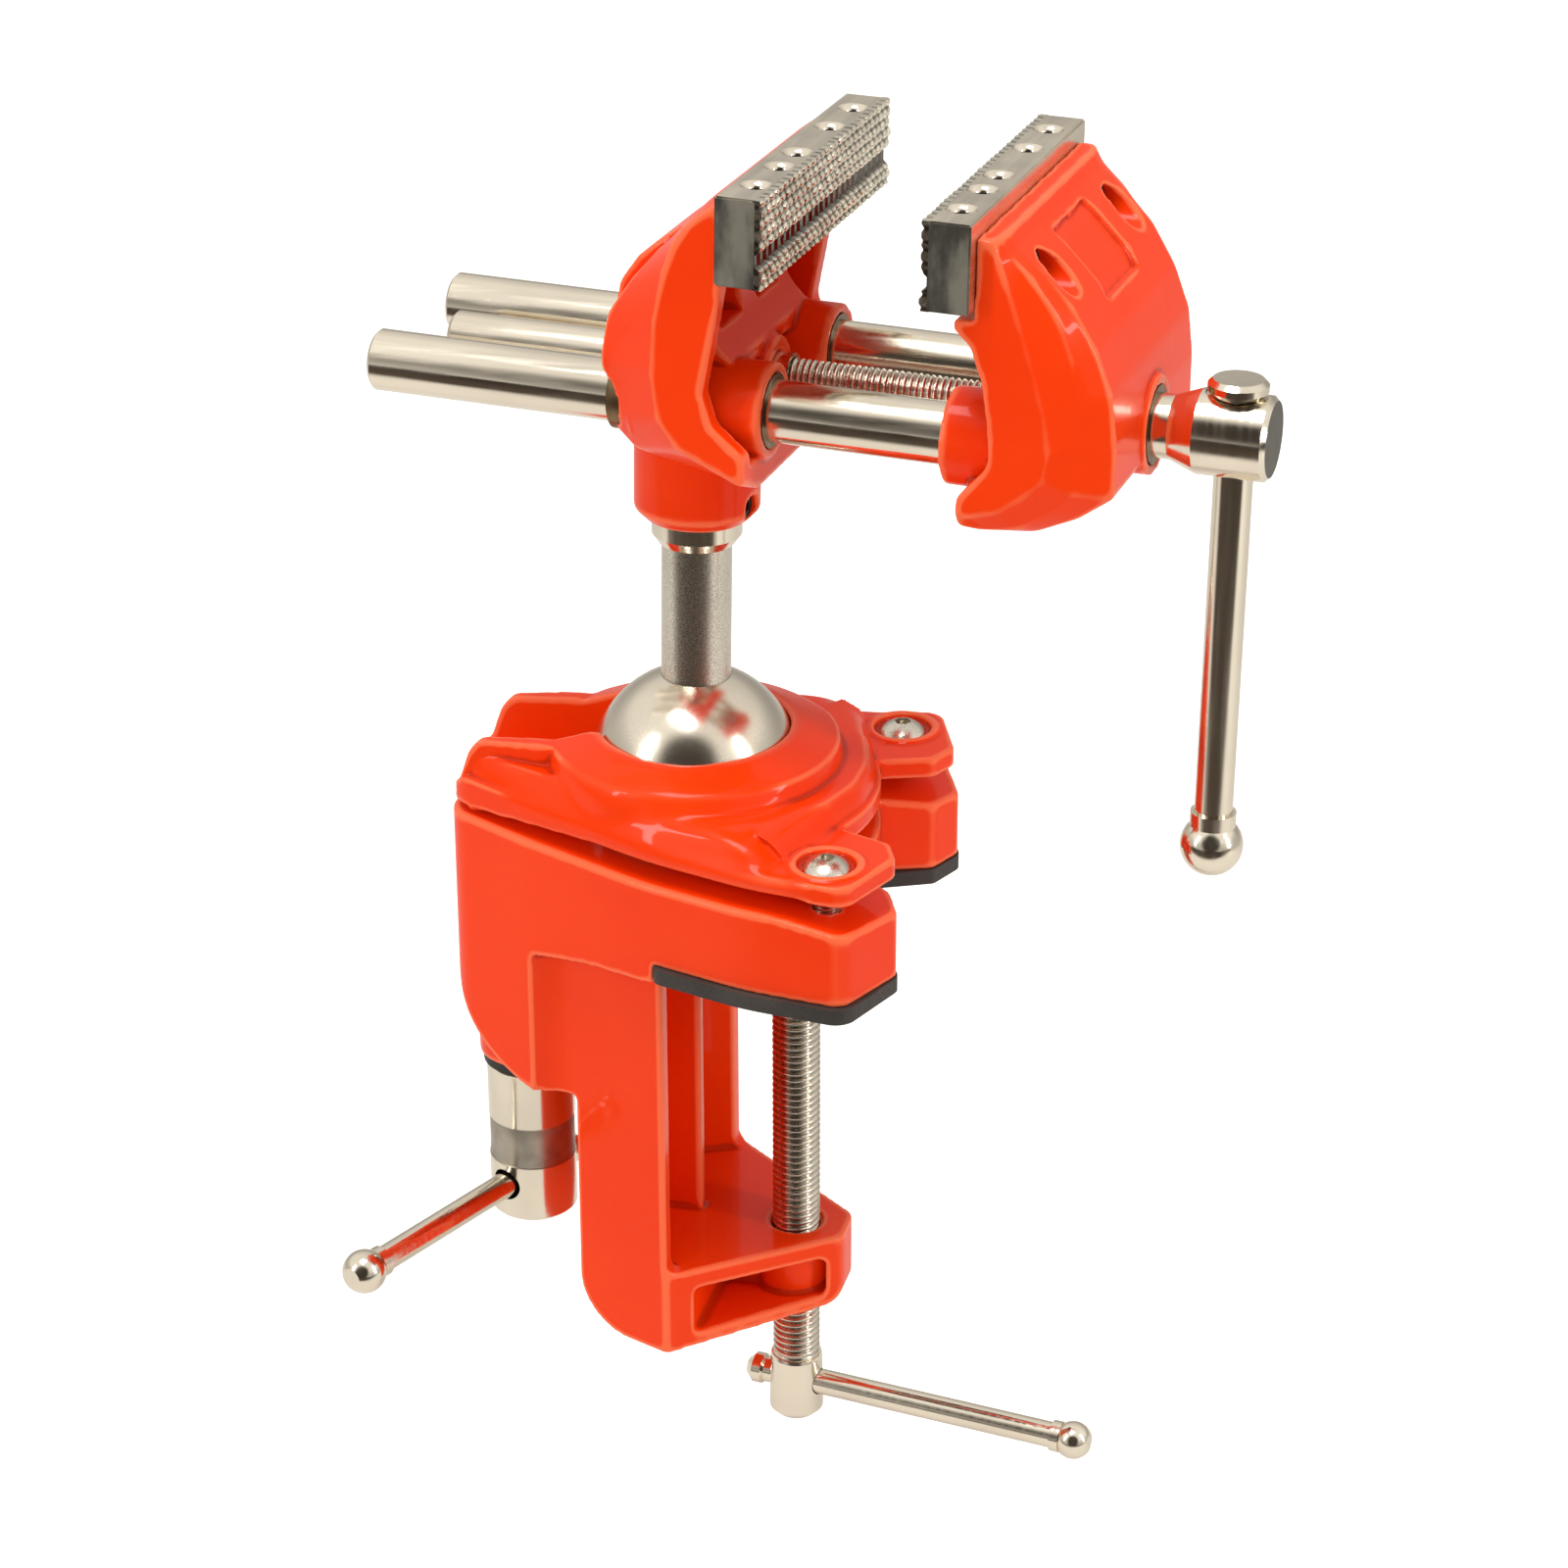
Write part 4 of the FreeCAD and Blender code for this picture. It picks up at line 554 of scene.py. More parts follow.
@made_once
def plate_steel(name):
    """Nickel on the long sides of a jaw plate, raw sawn steel on its two ends."""
    made = Finish(name)
    look = settings("metal")
    ends = made.facing((0, 1, 0), 0.93, 0.985)
    smear = made.grain(160, 0.38, 0.62, stretch=(1, 1, 0.35), detail=6)
    raw = made.mix(smear.outputs["Mask"], times(look.raw, 0.45), times(look.raw, 1.9))
    made.link(made.span(ends, 1.0, 0.4), made.shader.inputs["Metallic"])
    plated = made.drift(60, look.nickel, times(look.nickel, 0.8))
    made.colour(made.mix(ends, plated, raw))
    wear = made.grain(500, stretch=(1, 0.08, 1), detail=4)
    made.roughness(made.span(ends, made.span(wear.outputs["Mask"], 0.24, 0.38), 0.5))
    made.bump(smear.outputs["Height"], 0.12, 0.0006)
    return made.material


@made_once
def knurl_steel(name):
    """Plated knurl with a painted highlight on its points and painted shade in its furrows."""
    made = Finish(name)
    look = settings("metal")
    made.set(Metallic=1.0)
    bright = made.drift(300, tuple(min(1, c) for c in times(look.nickel, 1.25)), look.nickel)
    # Painted highlight on the points and painted shade down into the furrows, by the stored height.
    height = made.span(made.stored("point_height"), -0.3, 1.6)
    made.colour(made.mix(height, times(look.nickel, 0.22), bright))
    rough = made.grain(1400, detail=4)
    made.roughness(made.span(rough.outputs["Mask"], 0.14, 0.28))
    made.bump(rough.outputs["Height"], 0.2, 0.0003)
    return made.material


@made_once
def black_oxide(name):
    made = Finish(name)
    made.set(Metallic=0.6)
    made.colour(made.drift(200, (0.022, 0.021, 0.020), (0.045, 0.042, 0.038)))
    made.roughness(made.span(made.grain(800).outputs["Mask"], 0.38, 0.55))
    return made.material


@made_once
def cast_bronze(name):
    made = Finish(name)
    colour = settings("metal").bronze
    made.set(Metallic=1.0)
    made.colour(made.drift(120, colour, times(colour, 0.7)))
    made.roughness(made.span(made.grain(700, stretch=(1, 1, 0.2)).outputs["Mask"], 0.28, 0.45))
    return made.material


@made_once
def pad_rubber(name):
    made = Finish(name)
    colour = settings("metal").rubber
    made.colour(made.drift(80, colour, times(colour, 1.7)))
    grain = made.grain(1300, detail=4)
    made.roughness(made.span(grain.outputs["Mask"], 0.55, 0.72))
    made.bump(grain.outputs["Height"], 0.2, 0.0003)
    return made.material


@made_once
def worn_thread(name, light, dark, ragged):
    """Thread with a painted highlight on its crests and painted shade in its roots, by the height
    stored on its mesh.
    """
    made = Finish(name)
    colour = settings("metal").nickel
    made.set(Metallic=1.0)
    # Painted shade darkens the roots to the dark share of the nickel, and a painted highlight lifts
    # the crests to the light share.
    made.colour(made.mix(made.stored("point_height"), times(colour, dark),
                         made.drift(220, times(colour, light), times(colour, light * 0.8))))
    rough = made.grain(700, detail=4)
    made.roughness(made.span(rough.outputs["Mask"], 0.18, 0.30))
    made.bump(rough.outputs["Height"], ragged, 0.0004)
    return made.material


@made_once
def spindle_head_finish(name):
    """Plated, with dark turned end faces."""
    made = Finish(name)
    look = settings("metal")
    made.set(Metallic=1.0)
    end = made.facing(HEAD_X, 0.97, 0.995)
    made.colour(made.mix(end, made.drift(45, look.nickel, times(look.nickel, 0.88)),
                         made.drift(250, times(look.raw, 0.8), look.raw)))
    marks = made.grain(900, stretch=(1, 0.1, 0.1), detail=4)
    made.roughness(made.span(end, made.span(marks.outputs["Mask"], 0.10, 0.2), 0.42))
    made.bump(marks.outputs["Height"], 0.05, 0.0002)
    return made.material


# ---- mesh helpers -----------------------------------------------------------------------------
def give(obj, material):
    obj.data.materials.clear()
    obj.data.materials.append(material)


def linked(name, data, matrix=None):
    obj = bpy.data.objects.new(name, data)
    bpy.context.scene.collection.objects.link(obj)
    if matrix is not None:
        obj.matrix_world = matrix
    return obj


def apply_modifiers(obj):
    graph = bpy.context.evaluated_depsgraph_get()
    mesh = bpy.data.meshes.new_from_object(obj.evaluated_get(graph), depsgraph=graph)
    old = obj.data
    obj.modifiers.clear()
    obj.data = mesh
    if old.users == 0:
        bpy.data.meshes.remove(old)


def mesh_from(bm, name):
    mesh = bpy.data.meshes.new(name)
    bm.to_mesh(mesh)
    bm.free()
    return mesh


def ring(bm, radius, centre, sides, unit=1.0):
    """Ring of vertices round an upright axis."""
    x, y, z = centre
    turns = (2 * math.pi * i / sides for i in range(sides))
    return [bm.verts.new(Vector((x + radius * math.cos(a), y + radius * math.sin(a), z)) * unit)
            for a in turns]


def join_rings(bm, rings):
    """Faces from each ring of vertices to the next."""
    for a, b in zip(rings, rings[1:]):
        for i in range(len(a)):
            j = (i + 1) % len(a)
            bm.faces.new((a[i], a[j], b[j], b[i]))


def close_rings(bm, rings):
    """Solid round a stack of rings, with a flat cap at each end."""
    join_rings(bm, rings)
    bm.faces.new(reversed(rings[0]))
    bm.faces.new(rings[-1])


def smooth_shade(mesh):
    mesh.polygons.foreach_set("use_smooth", [True] * len(mesh.polygons))
    mesh.update()


def mark_edges(mesh, rounds=12):
    """Store how far each vertex stands out from its surroundings: edges above 0, hollows below."""
    count = len(mesh.vertices)
    places, normals = np.empty(count * 3), np.empty(count * 3)
    mesh.vertices.foreach_get("co", places)
    mesh.vertices.foreach_get("normal", normals)
    ends = np.empty(len(mesh.edges) * 2, dtype=np.int64)
    mesh.edges.foreach_get("vertices", ends)
    a, b = ends[::2], ends[1::2]
    near = np.maximum(np.bincount(a, minlength=count) + np.bincount(b, minlength=count), 1)
    out = np.zeros(count)
    for axis in range(3):
        soft = places[axis::3].copy()
        for _ in range(rounds):
            soft = (np.bincount(a, soft[b], count) + np.bincount(b, soft[a], count)) / near
        out += (places[axis::3] - soft) * normals[axis::3]
    layer = mesh.attributes.new("stands_out", "FLOAT", "POINT")
    layer.data.foreach_set("value", (out / MM).astype(np.float32))


def cast_skin(node, body, fineness=1.0, softness=1.0, reshape=None):
    """Casting with rounded edges and filleted corners in place of the sharp solid."""
    look = settings("enamel")
    skin = linked(node + "_skin", frame["nodes"][node].data.copy())
    cells = skin.modifiers.new("Skin", "REMESH")
    cells.mode = "VOXEL"
    cells.voxel_size = look.skin * fineness
    fillets = skin.modifiers.new("Fillets", "SMOOTH")
    fillets.factor = 0.5
    fillets.iterations = round(look.fillet_rounds * softness)
    apply_modifiers(skin)
    if reshape:
        reshape(skin)
    mark_edges(skin.data)
    give(skin, enamel())
    smooth_shade(skin.data)
    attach(skin, body)
    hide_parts(node)


def ease_crown(lid):
    """Let the crown of the lid run out softly towards its two ears. The easing fades in over
    2 to 5 mm inside its bounds and leaves the seats of the bolts alone."""
    side_y, ear_z, front_x, seat_r = 17.0, 22.5, 13.0, 7.5
    crown = lid.vertex_groups.new(name="crown")
    for vert in lid.data.vertices:
        x, y, z = vert.co / MM
        off_seat = math.hypot(x - BOLT_X, abs(y) - BOLT_Y) - seat_r
        share = min((abs(y) - side_y) / 5, (z - ear_z) / 2, off_seat / 2, (front_x - x) / 3, 1)
        if share > 0:
            crown.add([vert.index], share, "REPLACE")
    ease = lid.modifiers.new("Ease", "SMOOTH")
    ease.factor = 0.5
    ease.iterations = 160
    ease.vertex_group = crown.name
    apply_modifiers(lid)


def thread_depth(turn):
    """How deep the thread is at this many turns: flat crest and root, sloping flanks."""
    crest, flank = 0.18, 0.62
    away = abs((turn % 1.0) - 0.5) * 2
    return min(1.0, max(0.0, (away - crest) / flank))


def threaded_bar(name, stations, start, end, pitch, depth, matrix=None, sides=40):
    """Turned bar along its local Z with a helical thread between two heights. The stations
    are heights with the radius there."""
    rings_per_turn = 8
    step = pitch / rings_per_turn
    levels = [stations[0][0]]
    while levels[-1] + step < stations[-1][0]:
        levels.append(levels[-1] + step)
    levels = sorted(set(levels + [z for z, _ in stations]))

    def radius(z):
        for (za, ra), (zb, rb) in zip(stations, stations[1:]):
            if za <= z <= zb:
                return ra + (rb - ra) * (z - za) / max(zb - za, 1e-9)
        return stations[-1][1]

    bm = bmesh.new()
    heights = bm.verts.layers.float.new("point_height")
    rings = []
    for z in levels:
        level = []
        fade = min(1.0, max(0.0, (z - start) / pitch), max(0.0, (end - z) / pitch))
        for i in range(sides):
            angle = 2 * math.pi * i / sides
            share = thread_depth(z / pitch - i / sides)
            r = radius(z) - depth * share * fade
            vert = bm.verts.new((r * math.cos(angle), r * math.sin(angle), z))
            vert[heights] = 1 - share * fade
            level.append(vert)
        rings.append(level)
    close_rings(bm, rings)
    mesh = mesh_from(bm, name)
    smooth_shade(mesh)
    return linked(name, mesh, matrix)


# ---- castings and plain fittings --------------------------------------------------------------
class BALLVISE_OT_castings(bpy.types.Operator):
    """Lay the enamelled skins over the four castings"""

    bl_idname = "ball_vise.castings"
    bl_label = "Enamelled castings"

    def execute(self, context):
        cast_skin("base_casting", "base")
        cast_skin("lid_casting", "lid", fineness=0.85, softness=1.5, reshape=ease_crown)
        cast_skin("fixed_jaw_casting", "vise_body")
        cast_skin("moving_jaw_casting", "moving_jaw_body")
        return {"FINISHED"}


class BALLVISE_OT_bright_parts(bpy.types.Operator):
    """Finish the plated bars, rods and nut, and the lid bolts"""

    bl_idname = "ball_vise.bright_parts"
    bl_label = "Plated bars and rods"

    def execute(self, context):
        nodes = frame["nodes"]
        for axis, plated in NICKEL_NODES.items():
            for node in plated:
                give(nodes[node], polished_nickel(axis))
        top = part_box("lock_nut")[1].z
        give(nodes["lock_nut"], banded_nut(*(top - below for below in NUT_BAND)))
        give(nodes["lid_bolts"], satin_steel())
        give(nodes["spindle_head"], spindle_head_finish())
        return {"FINISHED"}


class BALLVISE_OT_ball_and_neck(bpy.types.Operator):
    """Give the ball its ground finish, and the neck, stud and clamp foot a satin one"""

    bl_idname = "ball_vise.ball_and_neck"
    bl_label = "Ball and neck"

    def execute(self, context):
        nodes = frame["nodes"]
        give(nodes["ball"], ground_ball())
        for node in ("neck", "lock_stud", "lock_barrel", "clamp_foot"):
            give(nodes[node], satin_steel())
        return {"FINISHED"}


class BALLVISE_OT_small_fittings(bpy.types.Operator):
    """Finish the bushes, screws, washer, clip and rubber pads"""

    bl_idname = "ball_vise.small_fittings"
    bl_label = "Bushes, screws and pads"

    def execute(self, context):
        nodes = frame["nodes"]
        for node in ("lock_washer", "neck_set_screw", "fixed_plate_screws",
                     "moving_plate_screws", "rod_set_screws", "spindle_clip"):
            give(nodes[node], black_oxide())
        for node in ("ball_cup", "rod_bushes", "thrust_bush"):
            give(nodes[node], cast_bronze())
        for node in ("near_pad", "far_pad"):
            give(nodes[node], pad_rubber())
        return {"FINISHED"}


# ---- threads ----------------------------------------------------------------------------------
class BALLVISE_OT_clamp_thread(bpy.types.Operator):
    """Cut the thread of the clamp screw"""

    bl_idname = "ball_vise.clamp_thread"
    bl_label = "Clamp screw thread"

    def execute(self, context):
        low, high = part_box("clamp_screw")
        stub_top, shoulder = low.z + 0.003, high.z - 0.0065
        stub_r, screw_r, chamfer_r, pin_r = 0.0035, 0.005, 0.0042, 0.0036
        chamfer, run_in, ledge, depth = 0.0008, 0.0002, 0.00001, 0.00075
        screw = threaded_bar("clamp_thread", [
            (low.z, stub_r), (stub_top, stub_r), (stub_top + ledge, screw_r),
            (shoulder - chamfer, screw_r), (shoulder, chamfer_r), (shoulder + ledge, pin_r),
            (high.z, pin_r),
        ], stub_top + run_in, shoulder, settings("threads").clamp_pitch, depth)
        give(screw, worn_thread(1.0, 0.42, 0.02))
        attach(screw, "clamp_screw_body")
        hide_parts("clamp_screw")
        return {"FINISHED"}


class BALLVISE_OT_spindle_thread(bpy.types.Operator):
    """Cut the thread of the jaw spindle"""

    bl_idname = "ball_vise.spindle_thread"
    bl_label = "Spindle thread"

    def execute(self, context):
        mesh = frame["nodes"]["spindle_screw"].data
        back = HEAD.inverted()
        reach = [(back @ v.co).x for v in mesh.vertices]
        tail, nose = min(reach), max(reach)
        chamfer_r, screw_r, chamfer, plain_nose, depth = 0.003, 0.004, 0.001, 0.022, 0.0004
        along = HEAD @ Matrix.Translation((0, 0, ROD_Z * MM)) @ Matrix.Rotation(math.pi / 2, 4, "Y")
        screw = threaded_bar("spindle_thread", [
            (tail, chamfer_r), (tail + chamfer, screw_r), (nose, screw_r),
        ], tail, nose - plain_nose, settings("threads").spindle_pitch, depth, along, sides=32)
        give(screw, worn_thread(1.15, 0.45, 0.6))
        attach(screw, "spindle_body")
        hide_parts("spindle_screw")
        return {"FINISHED"}


class BALLVISE_OT_bolt_threads(bpy.types.Operator):
    """Add the thread of the two lid bolts where it shows under the lid"""

    bl_idname = "ball_vise.bolt_threads"
    bl_label = "Lid bolt threads"

    def execute(self, context):
        length, crest_r, pitch, depth = 0.0078, 0.002704, 0.0008, 0.000312
        for name, side in (("near_bolt_thread", -1), ("far_bolt_thread", 1)):
            place = Matrix.Translation(Vector((BOLT_X, side * BOLT_Y, BOLT_THREAD_Z)) * MM)
            thread = threaded_bar(name, [(0.0, crest_r), (length, crest_r)], 0.0, length,
                                  pitch, depth, place, sides=28)
            # Painted shade: the bolt threads under the lid are made much darker than the other
            # threads.
            give(thread, worn_thread(0.35, 0.10, 0.1))
            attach(thread, "base")
        return {"FINISHED"}


# ---- jaw plates -------------------------------------------------------------------------------
def box_mesh(name, low, high, sharp_x):
    """Block with eased edges, but for those round the side at sharp_x."""
    bm = bmesh.new()
    bmesh.ops.create_cube(bm, size=1.0)
    size = Vector(high) - Vector(low)
    middle = (Vector(high) + Vector(low)) / 2
    for v in bm.verts:
        v.co = Vector((v.co.x * size.x, v.co.y * size.y, v.co.z * size.z)) + middle
    eased = [e for e in bm.edges if any(abs(v.co.x - sharp_x) > 1e-6 for v in e.verts)]
    bmesh.ops.bevel(bm, geom=eased, offset=EDGE_EASE * MM, segments=2, affect="EDGES")
    return mesh_from(bm, name)


def peg_tools(peg_x):
    """The countersunk sockets for the pegs, as one cutter that stands out over the plate."""
    profile = (
        (PEG_R, JAW_TOP - PEG_DEPTH), (PEG_R, JAW_TOP - CONE_DEPTH),
        (CONE_R, JAW_TOP + CUT_MARGIN), (CONE_R, JAW_TOP + 2),
    )
    bm = bmesh.new()
    for y in PEG_PLACES:
        close_rings(bm, [ring(bm, r, (peg_x, y, z), PEG_SIDES, MM) for r, z in profile])
    return mesh_from(bm, "peg_cutter")


def plate_block(node, body, back_x, face_x):
    """Jaw plate with eased edges and countersunk peg sockets, ready for its knurl."""
    toward = 1 if face_x > back_x else -1
    front = face_x - toward * BLOCK_BACK
    low_x, high_x = sorted((back_x, front))
    peg_x = (back_x + face_x) / 2
    block = linked(node + "_block", box_mesh(node + "_block",
                   Vector((low_x, -JAW_LENGTH / 2, JAW_TOP - JAW_H)) * MM,
                   Vector((high_x, JAW_LENGTH / 2, JAW_TOP)) * MM, front * MM))
    cutter = linked("peg_cutter", peg_tools(peg_x))
    pegs = block.modifiers.new("Pegs", "BOOLEAN")
    pegs.operation = "DIFFERENCE"
    pegs.solver = "EXACT"
    pegs.object = cutter
    apply_modifiers(block)
    bpy.data.objects.remove(cutter)
    give(block, plate_steel())
    block.data.materials.append(polished_nickel("Z"))
    block.data.materials.append(black_oxide())
    for polygon in block.data.polygons:
        c = polygon.center / MM
        off_peg = min(math.hypot(c.x - peg_x, c.y - y) for y in PEG_PLACES)
        # Painted shade: the peg bores below the cones take the dark black oxide, so the sockets
        # read dark inside.
        if off_peg < CONE_R + CUT_MARGIN and c.z < JAW_TOP - CUT_MARGIN:
            cone = polygon.normal.z > 0.3 and c.z > JAW_TOP - CONE_DEPTH
            polygon.material_index = 1 if cone else 2
            polygon.use_smooth = cone
    block.matrix_world = HEAD
    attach(block, body)
    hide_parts(node)


def knurl_height(y, z, points, pitch_y, pitch_z):
    """Height of the knurl, 0 to 1, at a place on the gripping face, in mm."""
    best = 0.0
    row = round(z / pitch_z)
    for r in (row - 1, row, row + 1):
        shift = 0.5 * pitch_y if r % 2 else 0.0
        col = round((y - shift) / pitch_y)
        for c in (col - 1, col, col + 1):
            dy, dz, size = points.setdefault((r, c), (
                random.uniform(-POINT_STRAY_Y, POINT_STRAY_Y),
                random.uniform(-POINT_STRAY_Z, POINT_STRAY_Z), random.uniform(POINT_LEAST, 1.0)))
            u = abs(y - (c * pitch_y + shift + dy)) / (POINT_HALF * pitch_y)
            v = abs(z - (r * pitch_z + dz)) / (POINT_HALF * pitch_z)
            away = (u ** POINT_BULGE + v ** POINT_BULGE) ** (1 / POINT_BULGE)
            best = max(best, size * min(1.0, max(0.0, (POINT_REACH - away) / POINT_SLOPE)))
    return best


def knurl_face(name, body, face_x, toward, seed):
    """Gripping face: rows of rough points over and under the long groove."""
    random.seed(seed)
    look = settings("threads")
    pitch_y, depth = look.knurl_pitch / MM, look.knurl_depth / MM
    pitch_z = pitch_y * ROW_SPACING
    points, teeth = {}, {}
    half = JAW_LENGTH / 2 - KNURL_INSET
    top, bottom = JAW_TOP - KNURL_INSET, JAW_TOP - JAW_H + KNURL_INSET
    groove = JAW_TOP - GROOVE_DROP
    columns = int(2 * half / KNURL_CELL)
    rows = int((top - bottom) / KNURL_CELL)
    bm = bmesh.new()
    heights = bm.verts.layers.float.new("point_height")
    grid = []
    for i in range(columns + 1):
        y = -half + 2 * half * i / columns
        line = []
        for j in range(rows + 1):
            z = bottom + (top - bottom) * j / rows
            lift = knurl_height(y, z - top + FIRST_ROW, points, pitch_y, pitch_z)
            off = abs(z - groove)
            sunk = 0.0
            if off < GROOVE_HALF:
                number = round(y / TOOTH_PITCH)
                lean = teeth.setdefault(number, random.uniform(-TOOTH_LEAN, TOOTH_LEAN))
                tooth = max(0.0, 1 - abs(y - number * TOOTH_PITCH - lean) / TOOTH_HALF)
                share = min(1.0, (GROOVE_HALF - off) / GROOVE_FLANK)
                sunk = share * GROOVE_DEPTH
                lift = lift * (1 - share) + share * TOOTH_HEIGHT * tooth
            x = face_x - toward * (depth * (1 - lift) + sunk)
            vert = bm.verts.new(Vector((x, y, z)) * MM)
            vert[heights] = max(0.0, lift - sunk * GROOVE_SHADE)
            line.append(vert)
        grid.append(line)
    for a, b in zip(grid, grid[1:]):
        for j in range(rows):
            bm.faces.new((a[j], b[j], b[j + 1], a[j + 1]))
    rim = [e for e in bm.edges if e.is_boundary]
    made = bmesh.ops.extrude_edge_only(bm, edges=rim)
    for g in made["geom"]:
        if isinstance(g, bmesh.types.BMVert):
            g.co.x = (face_x - toward * KNURL_SKIRT) * MM
        elif isinstance(g, bmesh.types.BMFace):
            g.material_index = 1
    bmesh.ops.recalc_face_normals(bm, faces=bm.faces)
    face = linked(name, mesh_from(bm, name), HEAD)
    give(face, knurl_steel())
    face.data.materials.append(plate_steel())
    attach(face, body)


class BALLVISE_OT_jaw_plates(bpy.types.Operator):
    """Make the two jaw plates with their peg sockets and knurled faces"""

    bl_idname = "ball_vise.jaw_plates"
    bl_label = "Jaw plates"

    def execute(self, context):
        plate_block("fixed_jaw_plate", "vise_body", FIXED_FACE_X - JAW_T, FIXED_FACE_X)
        plate_block("moving_jaw_plate", "moving_jaw_body", MOVING_FACE_X + JAW_T, MOVING_FACE_X)
        knurl_face("fixed_jaw_knurl", "vise_body", FIXED_FACE_X, toward=1, seed=3)
        knurl_face("moving_jaw_knurl", "moving_jaw_body", MOVING_FACE_X, toward=-1, seed=8)
        return {"FINISHED"}


# ---- studio -----------------------------------------------------------------------------------
def soft_lamp(name, place, size, power):
    data = bpy.data.lights.new(name, "AREA")
    data.shape = "RECTANGLE"
    data.size, data.size_y = size
    data.energy = power
    lamp = linked(name, data)
    lamp.location = place
    lamp.rotation_euler = (LAMP_AIM - Vector(place)).to_track_quat("-Z", "Y").to_euler()


def studio_world(level):
    """White behind the vise, a plain surround for light and, for the metal to mirror, a lit
    room with a dark opening in front and a dimmer wall behind."""
    world = bpy.data.worlds.new("Studio")
    world.use_nodes = True
    bpy.context.scene.world = world
    tree = world.node_tree
    tree.nodes.clear()
    link = tree.links.new
    out = add(tree, "ShaderNodeOutputWorld", (900, 0))
    path = add(tree, "ShaderNodeLightPath", (-600, 400))
    where = add(tree, "ShaderNodeTexCoord", (-1200, 0))
    height = add(tree, "ShaderNodeSeparateXYZ", (-900, -100))
    link(where.outputs["Generated"], height.inputs[0])
    ramp = add(tree, "ShaderNodeValToRGB", (-650, -100))
    link(height.outputs["Z"], ramp.inputs["Fac"])
    elements = ramp.color_ramp.elements
    while len(elements) < len(ROOM_LEVELS):
        elements.new(0.5)
    for element, (spot, value) in zip(elements, ROOM_LEVELS):
        element.position = spot
        element.color = (value, value * 0.97, value * 0.92, 1)
    toward = add(tree, "ShaderNodeVectorMath", (-900, -400))
    toward.operation = "DOT_PRODUCT"
    toward.inputs[1].default_value = OPENING_WAY
    link(where.outputs["Generated"], toward.inputs[0])
    opening = soft_step(tree, toward.outputs["Value"], OPENING_RIM, OPENING_CORE, (-650, -400))
    back_wall = soft_step(tree, height.outputs["Y"], BACK_WALL_START, BACK_WALL_END, (-650, -650))
    dark = add(tree, "ShaderNodeMath", (-450, -500))
    dark.operation = "MULTIPLY_ADD"
    dark.use_clamp = True
    dark.inputs[1].default_value = BACK_WALL_SHADE
    link(back_wall, dark.inputs[0])
    link(opening, dark.inputs[2])
    mirrored = colour_mix(tree, (-300, -200), B=(0.050, 0.042, 0.034, 1))
    link(dark.outputs[0], mirrored.inputs["Factor"])
    link(ramp.outputs["Color"], mirrored.inputs["A"])
    white = add(tree, "ShaderNodeBackground", (100, 200), Color=(1, 1, 1, 1), Strength=1.0)
    room = add(tree, "ShaderNodeBackground", (100, -50), Strength=1.0)
    around = add(tree, "ShaderNodeBackground", (100, -300), Color=(1, 0.985, 0.96, 1),
                 Strength=level)
    link(mirrored.outputs["Result"], room.inputs["Color"])
    glossy = add(tree, "ShaderNodeMixShader", (400, -100))
    link(path.outputs["Is Glossy Ray"], glossy.inputs["Fac"])
    link(around.outputs[0], glossy.inputs[1])
    link(room.outputs[0], glossy.inputs[2])
    seen = add(tree, "ShaderNodeMixShader", (650, 0))
    link(path.outputs["Is Camera Ray"], seen.inputs["Fac"])
    link(glossy.outputs[0], seen.inputs[1])
    link(white.outputs[0], seen.inputs[2])
    link(seen.outputs[0], out.inputs["Surface"])


def clamp_travel():
    """Lowest value of the clamp screw's slide, below 0, in metres."""
    joints = frame["record"]["behaviour"]["joints"]
    return next(joint["range_m"][0] for joint in joints if joint["name"] == "clamp_slide")


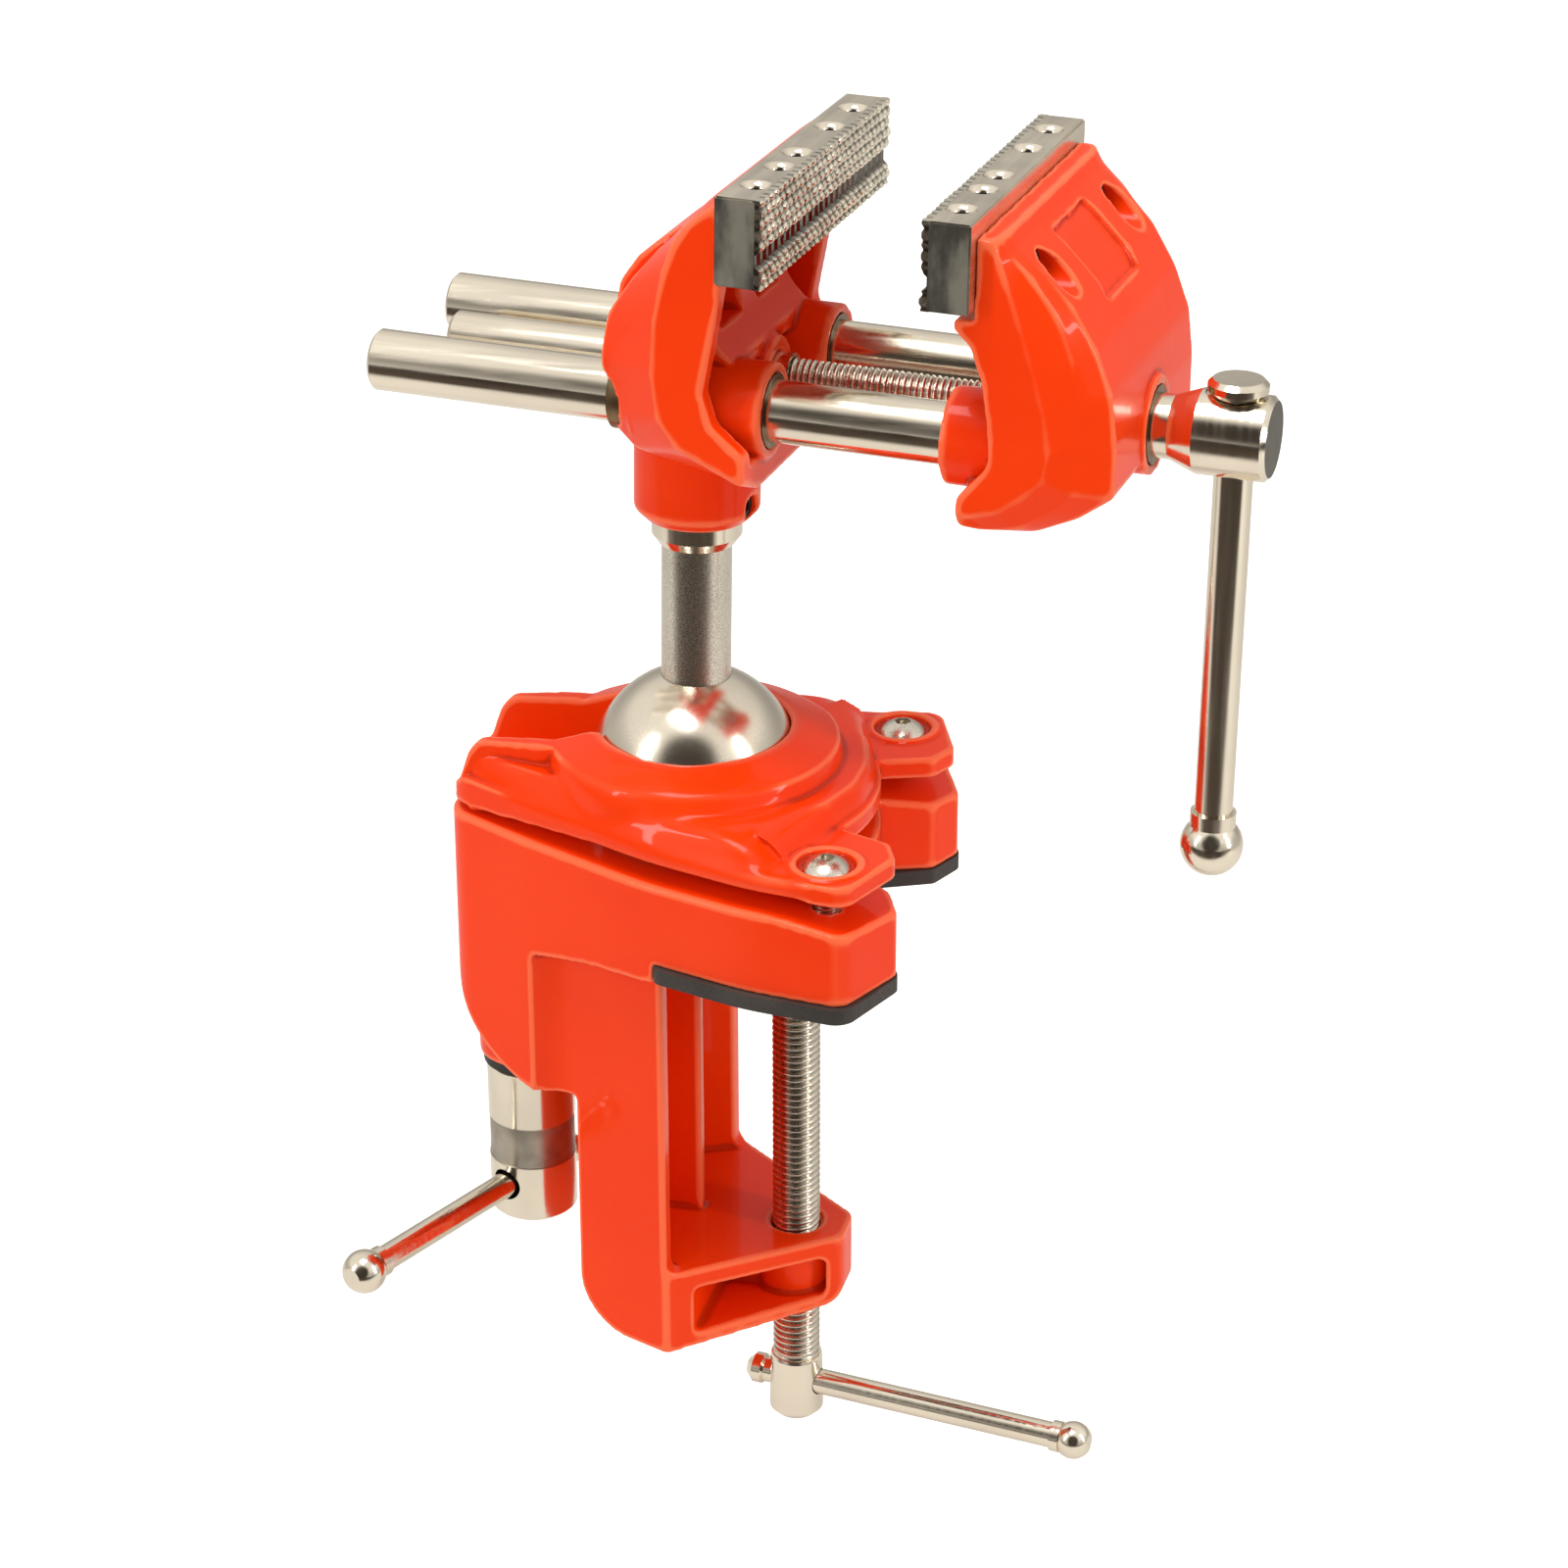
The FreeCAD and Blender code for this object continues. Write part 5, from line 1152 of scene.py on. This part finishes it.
def pale_floor(level_z):
    """Round white floor that keeps a faint shadow of the vise. Metal mirrors its front dark."""
    bm = bmesh.new()
    rings = [ring(bm, r, (0, 0, level_z), FLOOR_SIDES) for r in FLOOR_RINGS]
    join_rings(bm, rings)
    bm.faces.new(rings[-1])
    floor = linked("floor", mesh_from(bm, "floor"))
    material = bpy.data.materials.new("White floor")
    material.use_nodes = True
    tree = material.node_tree
    tree.nodes.clear()
    out = add(tree, "ShaderNodeOutputMaterial", (500, 0))
    paint = add(tree, "ShaderNodeBsdfDiffuse", (-200, 150))
    glow = add(tree, "ShaderNodeEmission", (-200, -100), Color=(1, 1, 1, 1))
    path = add(tree, "ShaderNodeLightPath", (-1000, 0))
    lift = add(tree, "ShaderNodeMapRange", (-450, -50), To_Max=FLOOR_GLOW)
    tree.links.new(path.outputs["Is Camera Ray"], lift.inputs["Value"])
    tree.links.new(lift.outputs["Result"], glow.inputs["Strength"])
    where = add(tree, "ShaderNodeNewGeometry", (-1200, 300))
    spot = add(tree, "ShaderNodeSeparateXYZ", (-1000, 300))
    tree.links.new(where.outputs["Position"], spot.inputs[0])
    beyond = add(tree, "ShaderNodeMath", (-650, 250))
    beyond.operation = "MULTIPLY"
    front = soft_step(tree, spot.outputs["Y"], DARK_FLOOR_START, DARK_FLOOR_END, (-850, 300))
    tree.links.new(front, beyond.inputs[0])
    tree.links.new(path.outputs["Is Glossy Ray"], beyond.inputs[1])
    shade = colour_mix(tree, (-450, 250), A=(0.80, 0.78, 0.74, 1), B=(0.07, 0.055, 0.045, 1))
    tree.links.new(beyond.outputs[0], shade.inputs["Factor"])
    tree.links.new(shade.outputs["Result"], paint.inputs["Color"])
    both = add(tree, "ShaderNodeAddShader", (200, 0))
    tree.links.new(paint.outputs[0], both.inputs[0])
    tree.links.new(glow.outputs[0], both.inputs[1])
    tree.links.new(both.outputs[0], out.inputs["Surface"])
    give(floor, material)
    floor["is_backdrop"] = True


def vise_camera(lens):
    """Camera in front of the vise, to the right of it and above it."""
    yaw, pitch, roll = CAMERA_YAW, CAMERA_PITCH, CAMERA_ROLL
    level = math.cos(pitch)
    forward = Vector((math.sin(yaw) * level, math.cos(yaw) * level, -math.sin(pitch)))
    right = Vector((math.cos(yaw), -math.sin(yaw), 0))
    up = right.cross(forward)
    side = right * math.cos(roll) + up * math.sin(roll)
    top = up * math.cos(roll) - right * math.sin(roll)
    turn = Matrix((side, top, -forward)).transposed().to_4x4()
    data = bpy.data.cameras.new("camera")
    data.lens = lens
    data.sensor_width = 36
    data.clip_start, data.clip_end = 0.01, 50
    camera = linked("camera", data, Matrix.Translation(CAMERA_PLACE) @ turn)
    bpy.context.scene.camera = camera


class BALLVISE_OT_stage(bpy.types.Operator):
    """Set up the floor, lamps, surround and camera"""

    bl_idname = "ball_vise.stage"
    bl_label = "Studio"

    def execute(self, context):
        look = settings("studio")
        context.scene.view_settings.view_transform = "Standard"
        pale_floor(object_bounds()[0].z + clamp_travel() - FLOOR_GAP)
        for name, place, size, share in LAMPS:
            soft_lamp(name, place, size, look.lamp_power * share)
        studio_world(look.surround)
        vise_camera(look.lens)
        return {"FINISHED"}


# ---- panel and registration -------------------------------------------------------------------
STEPS = (
    BALLVISE_OT_castings, BALLVISE_OT_bright_parts, BALLVISE_OT_ball_and_neck,
    BALLVISE_OT_small_fittings, BALLVISE_OT_clamp_thread, BALLVISE_OT_spindle_thread,
    BALLVISE_OT_bolt_threads, BALLVISE_OT_jaw_plates, BALLVISE_OT_stage,
)
GROUPS = {
    "enamel": BallViseEnamel, "metal": BallViseMetal, "threads": BallViseThreads,
    "studio": BallViseStudio,
}


class BALLVISE_PT_panel(bpy.types.Panel):
    """Steps and sizes of the ball vise"""

    bl_idname = "BALLVISE_PT_panel"
    bl_label = "Ball Vise"
    bl_space_type = "VIEW_3D"
    bl_region_type = "UI"
    bl_category = "Ball Vise"

    def draw(self, context):
        for step in STEPS:
            self.layout.operator(step.bl_idname)
        for name, group in GROUPS.items():
            column = self.layout.column(heading=name.capitalize())
            for prop in group.__annotations__:
                column.prop(settings(name), prop)


def register():
    for group in GROUPS.values():
        bpy.utils.register_class(group)
    for cls in (*STEPS, BALLVISE_PT_panel):
        bpy.utils.register_class(cls)
    for name, group in GROUPS.items():
        setattr(bpy.types.Scene, "ball_vise_" + name, PointerProperty(type=group))


def unregister():
    for name in GROUPS:
        delattr(bpy.types.Scene, "ball_vise_" + name)
    for cls in (BALLVISE_PT_panel, *reversed(STEPS)):
        bpy.utils.unregister_class(cls)
    for group in reversed(GROUPS.values()):
        bpy.utils.unregister_class(group)


def main():
    register()
    for step in STEPS:
        group, name = step.bl_idname.split(".")
        getattr(getattr(bpy.ops, group), name)()


if __name__ == "__main__":
    main()
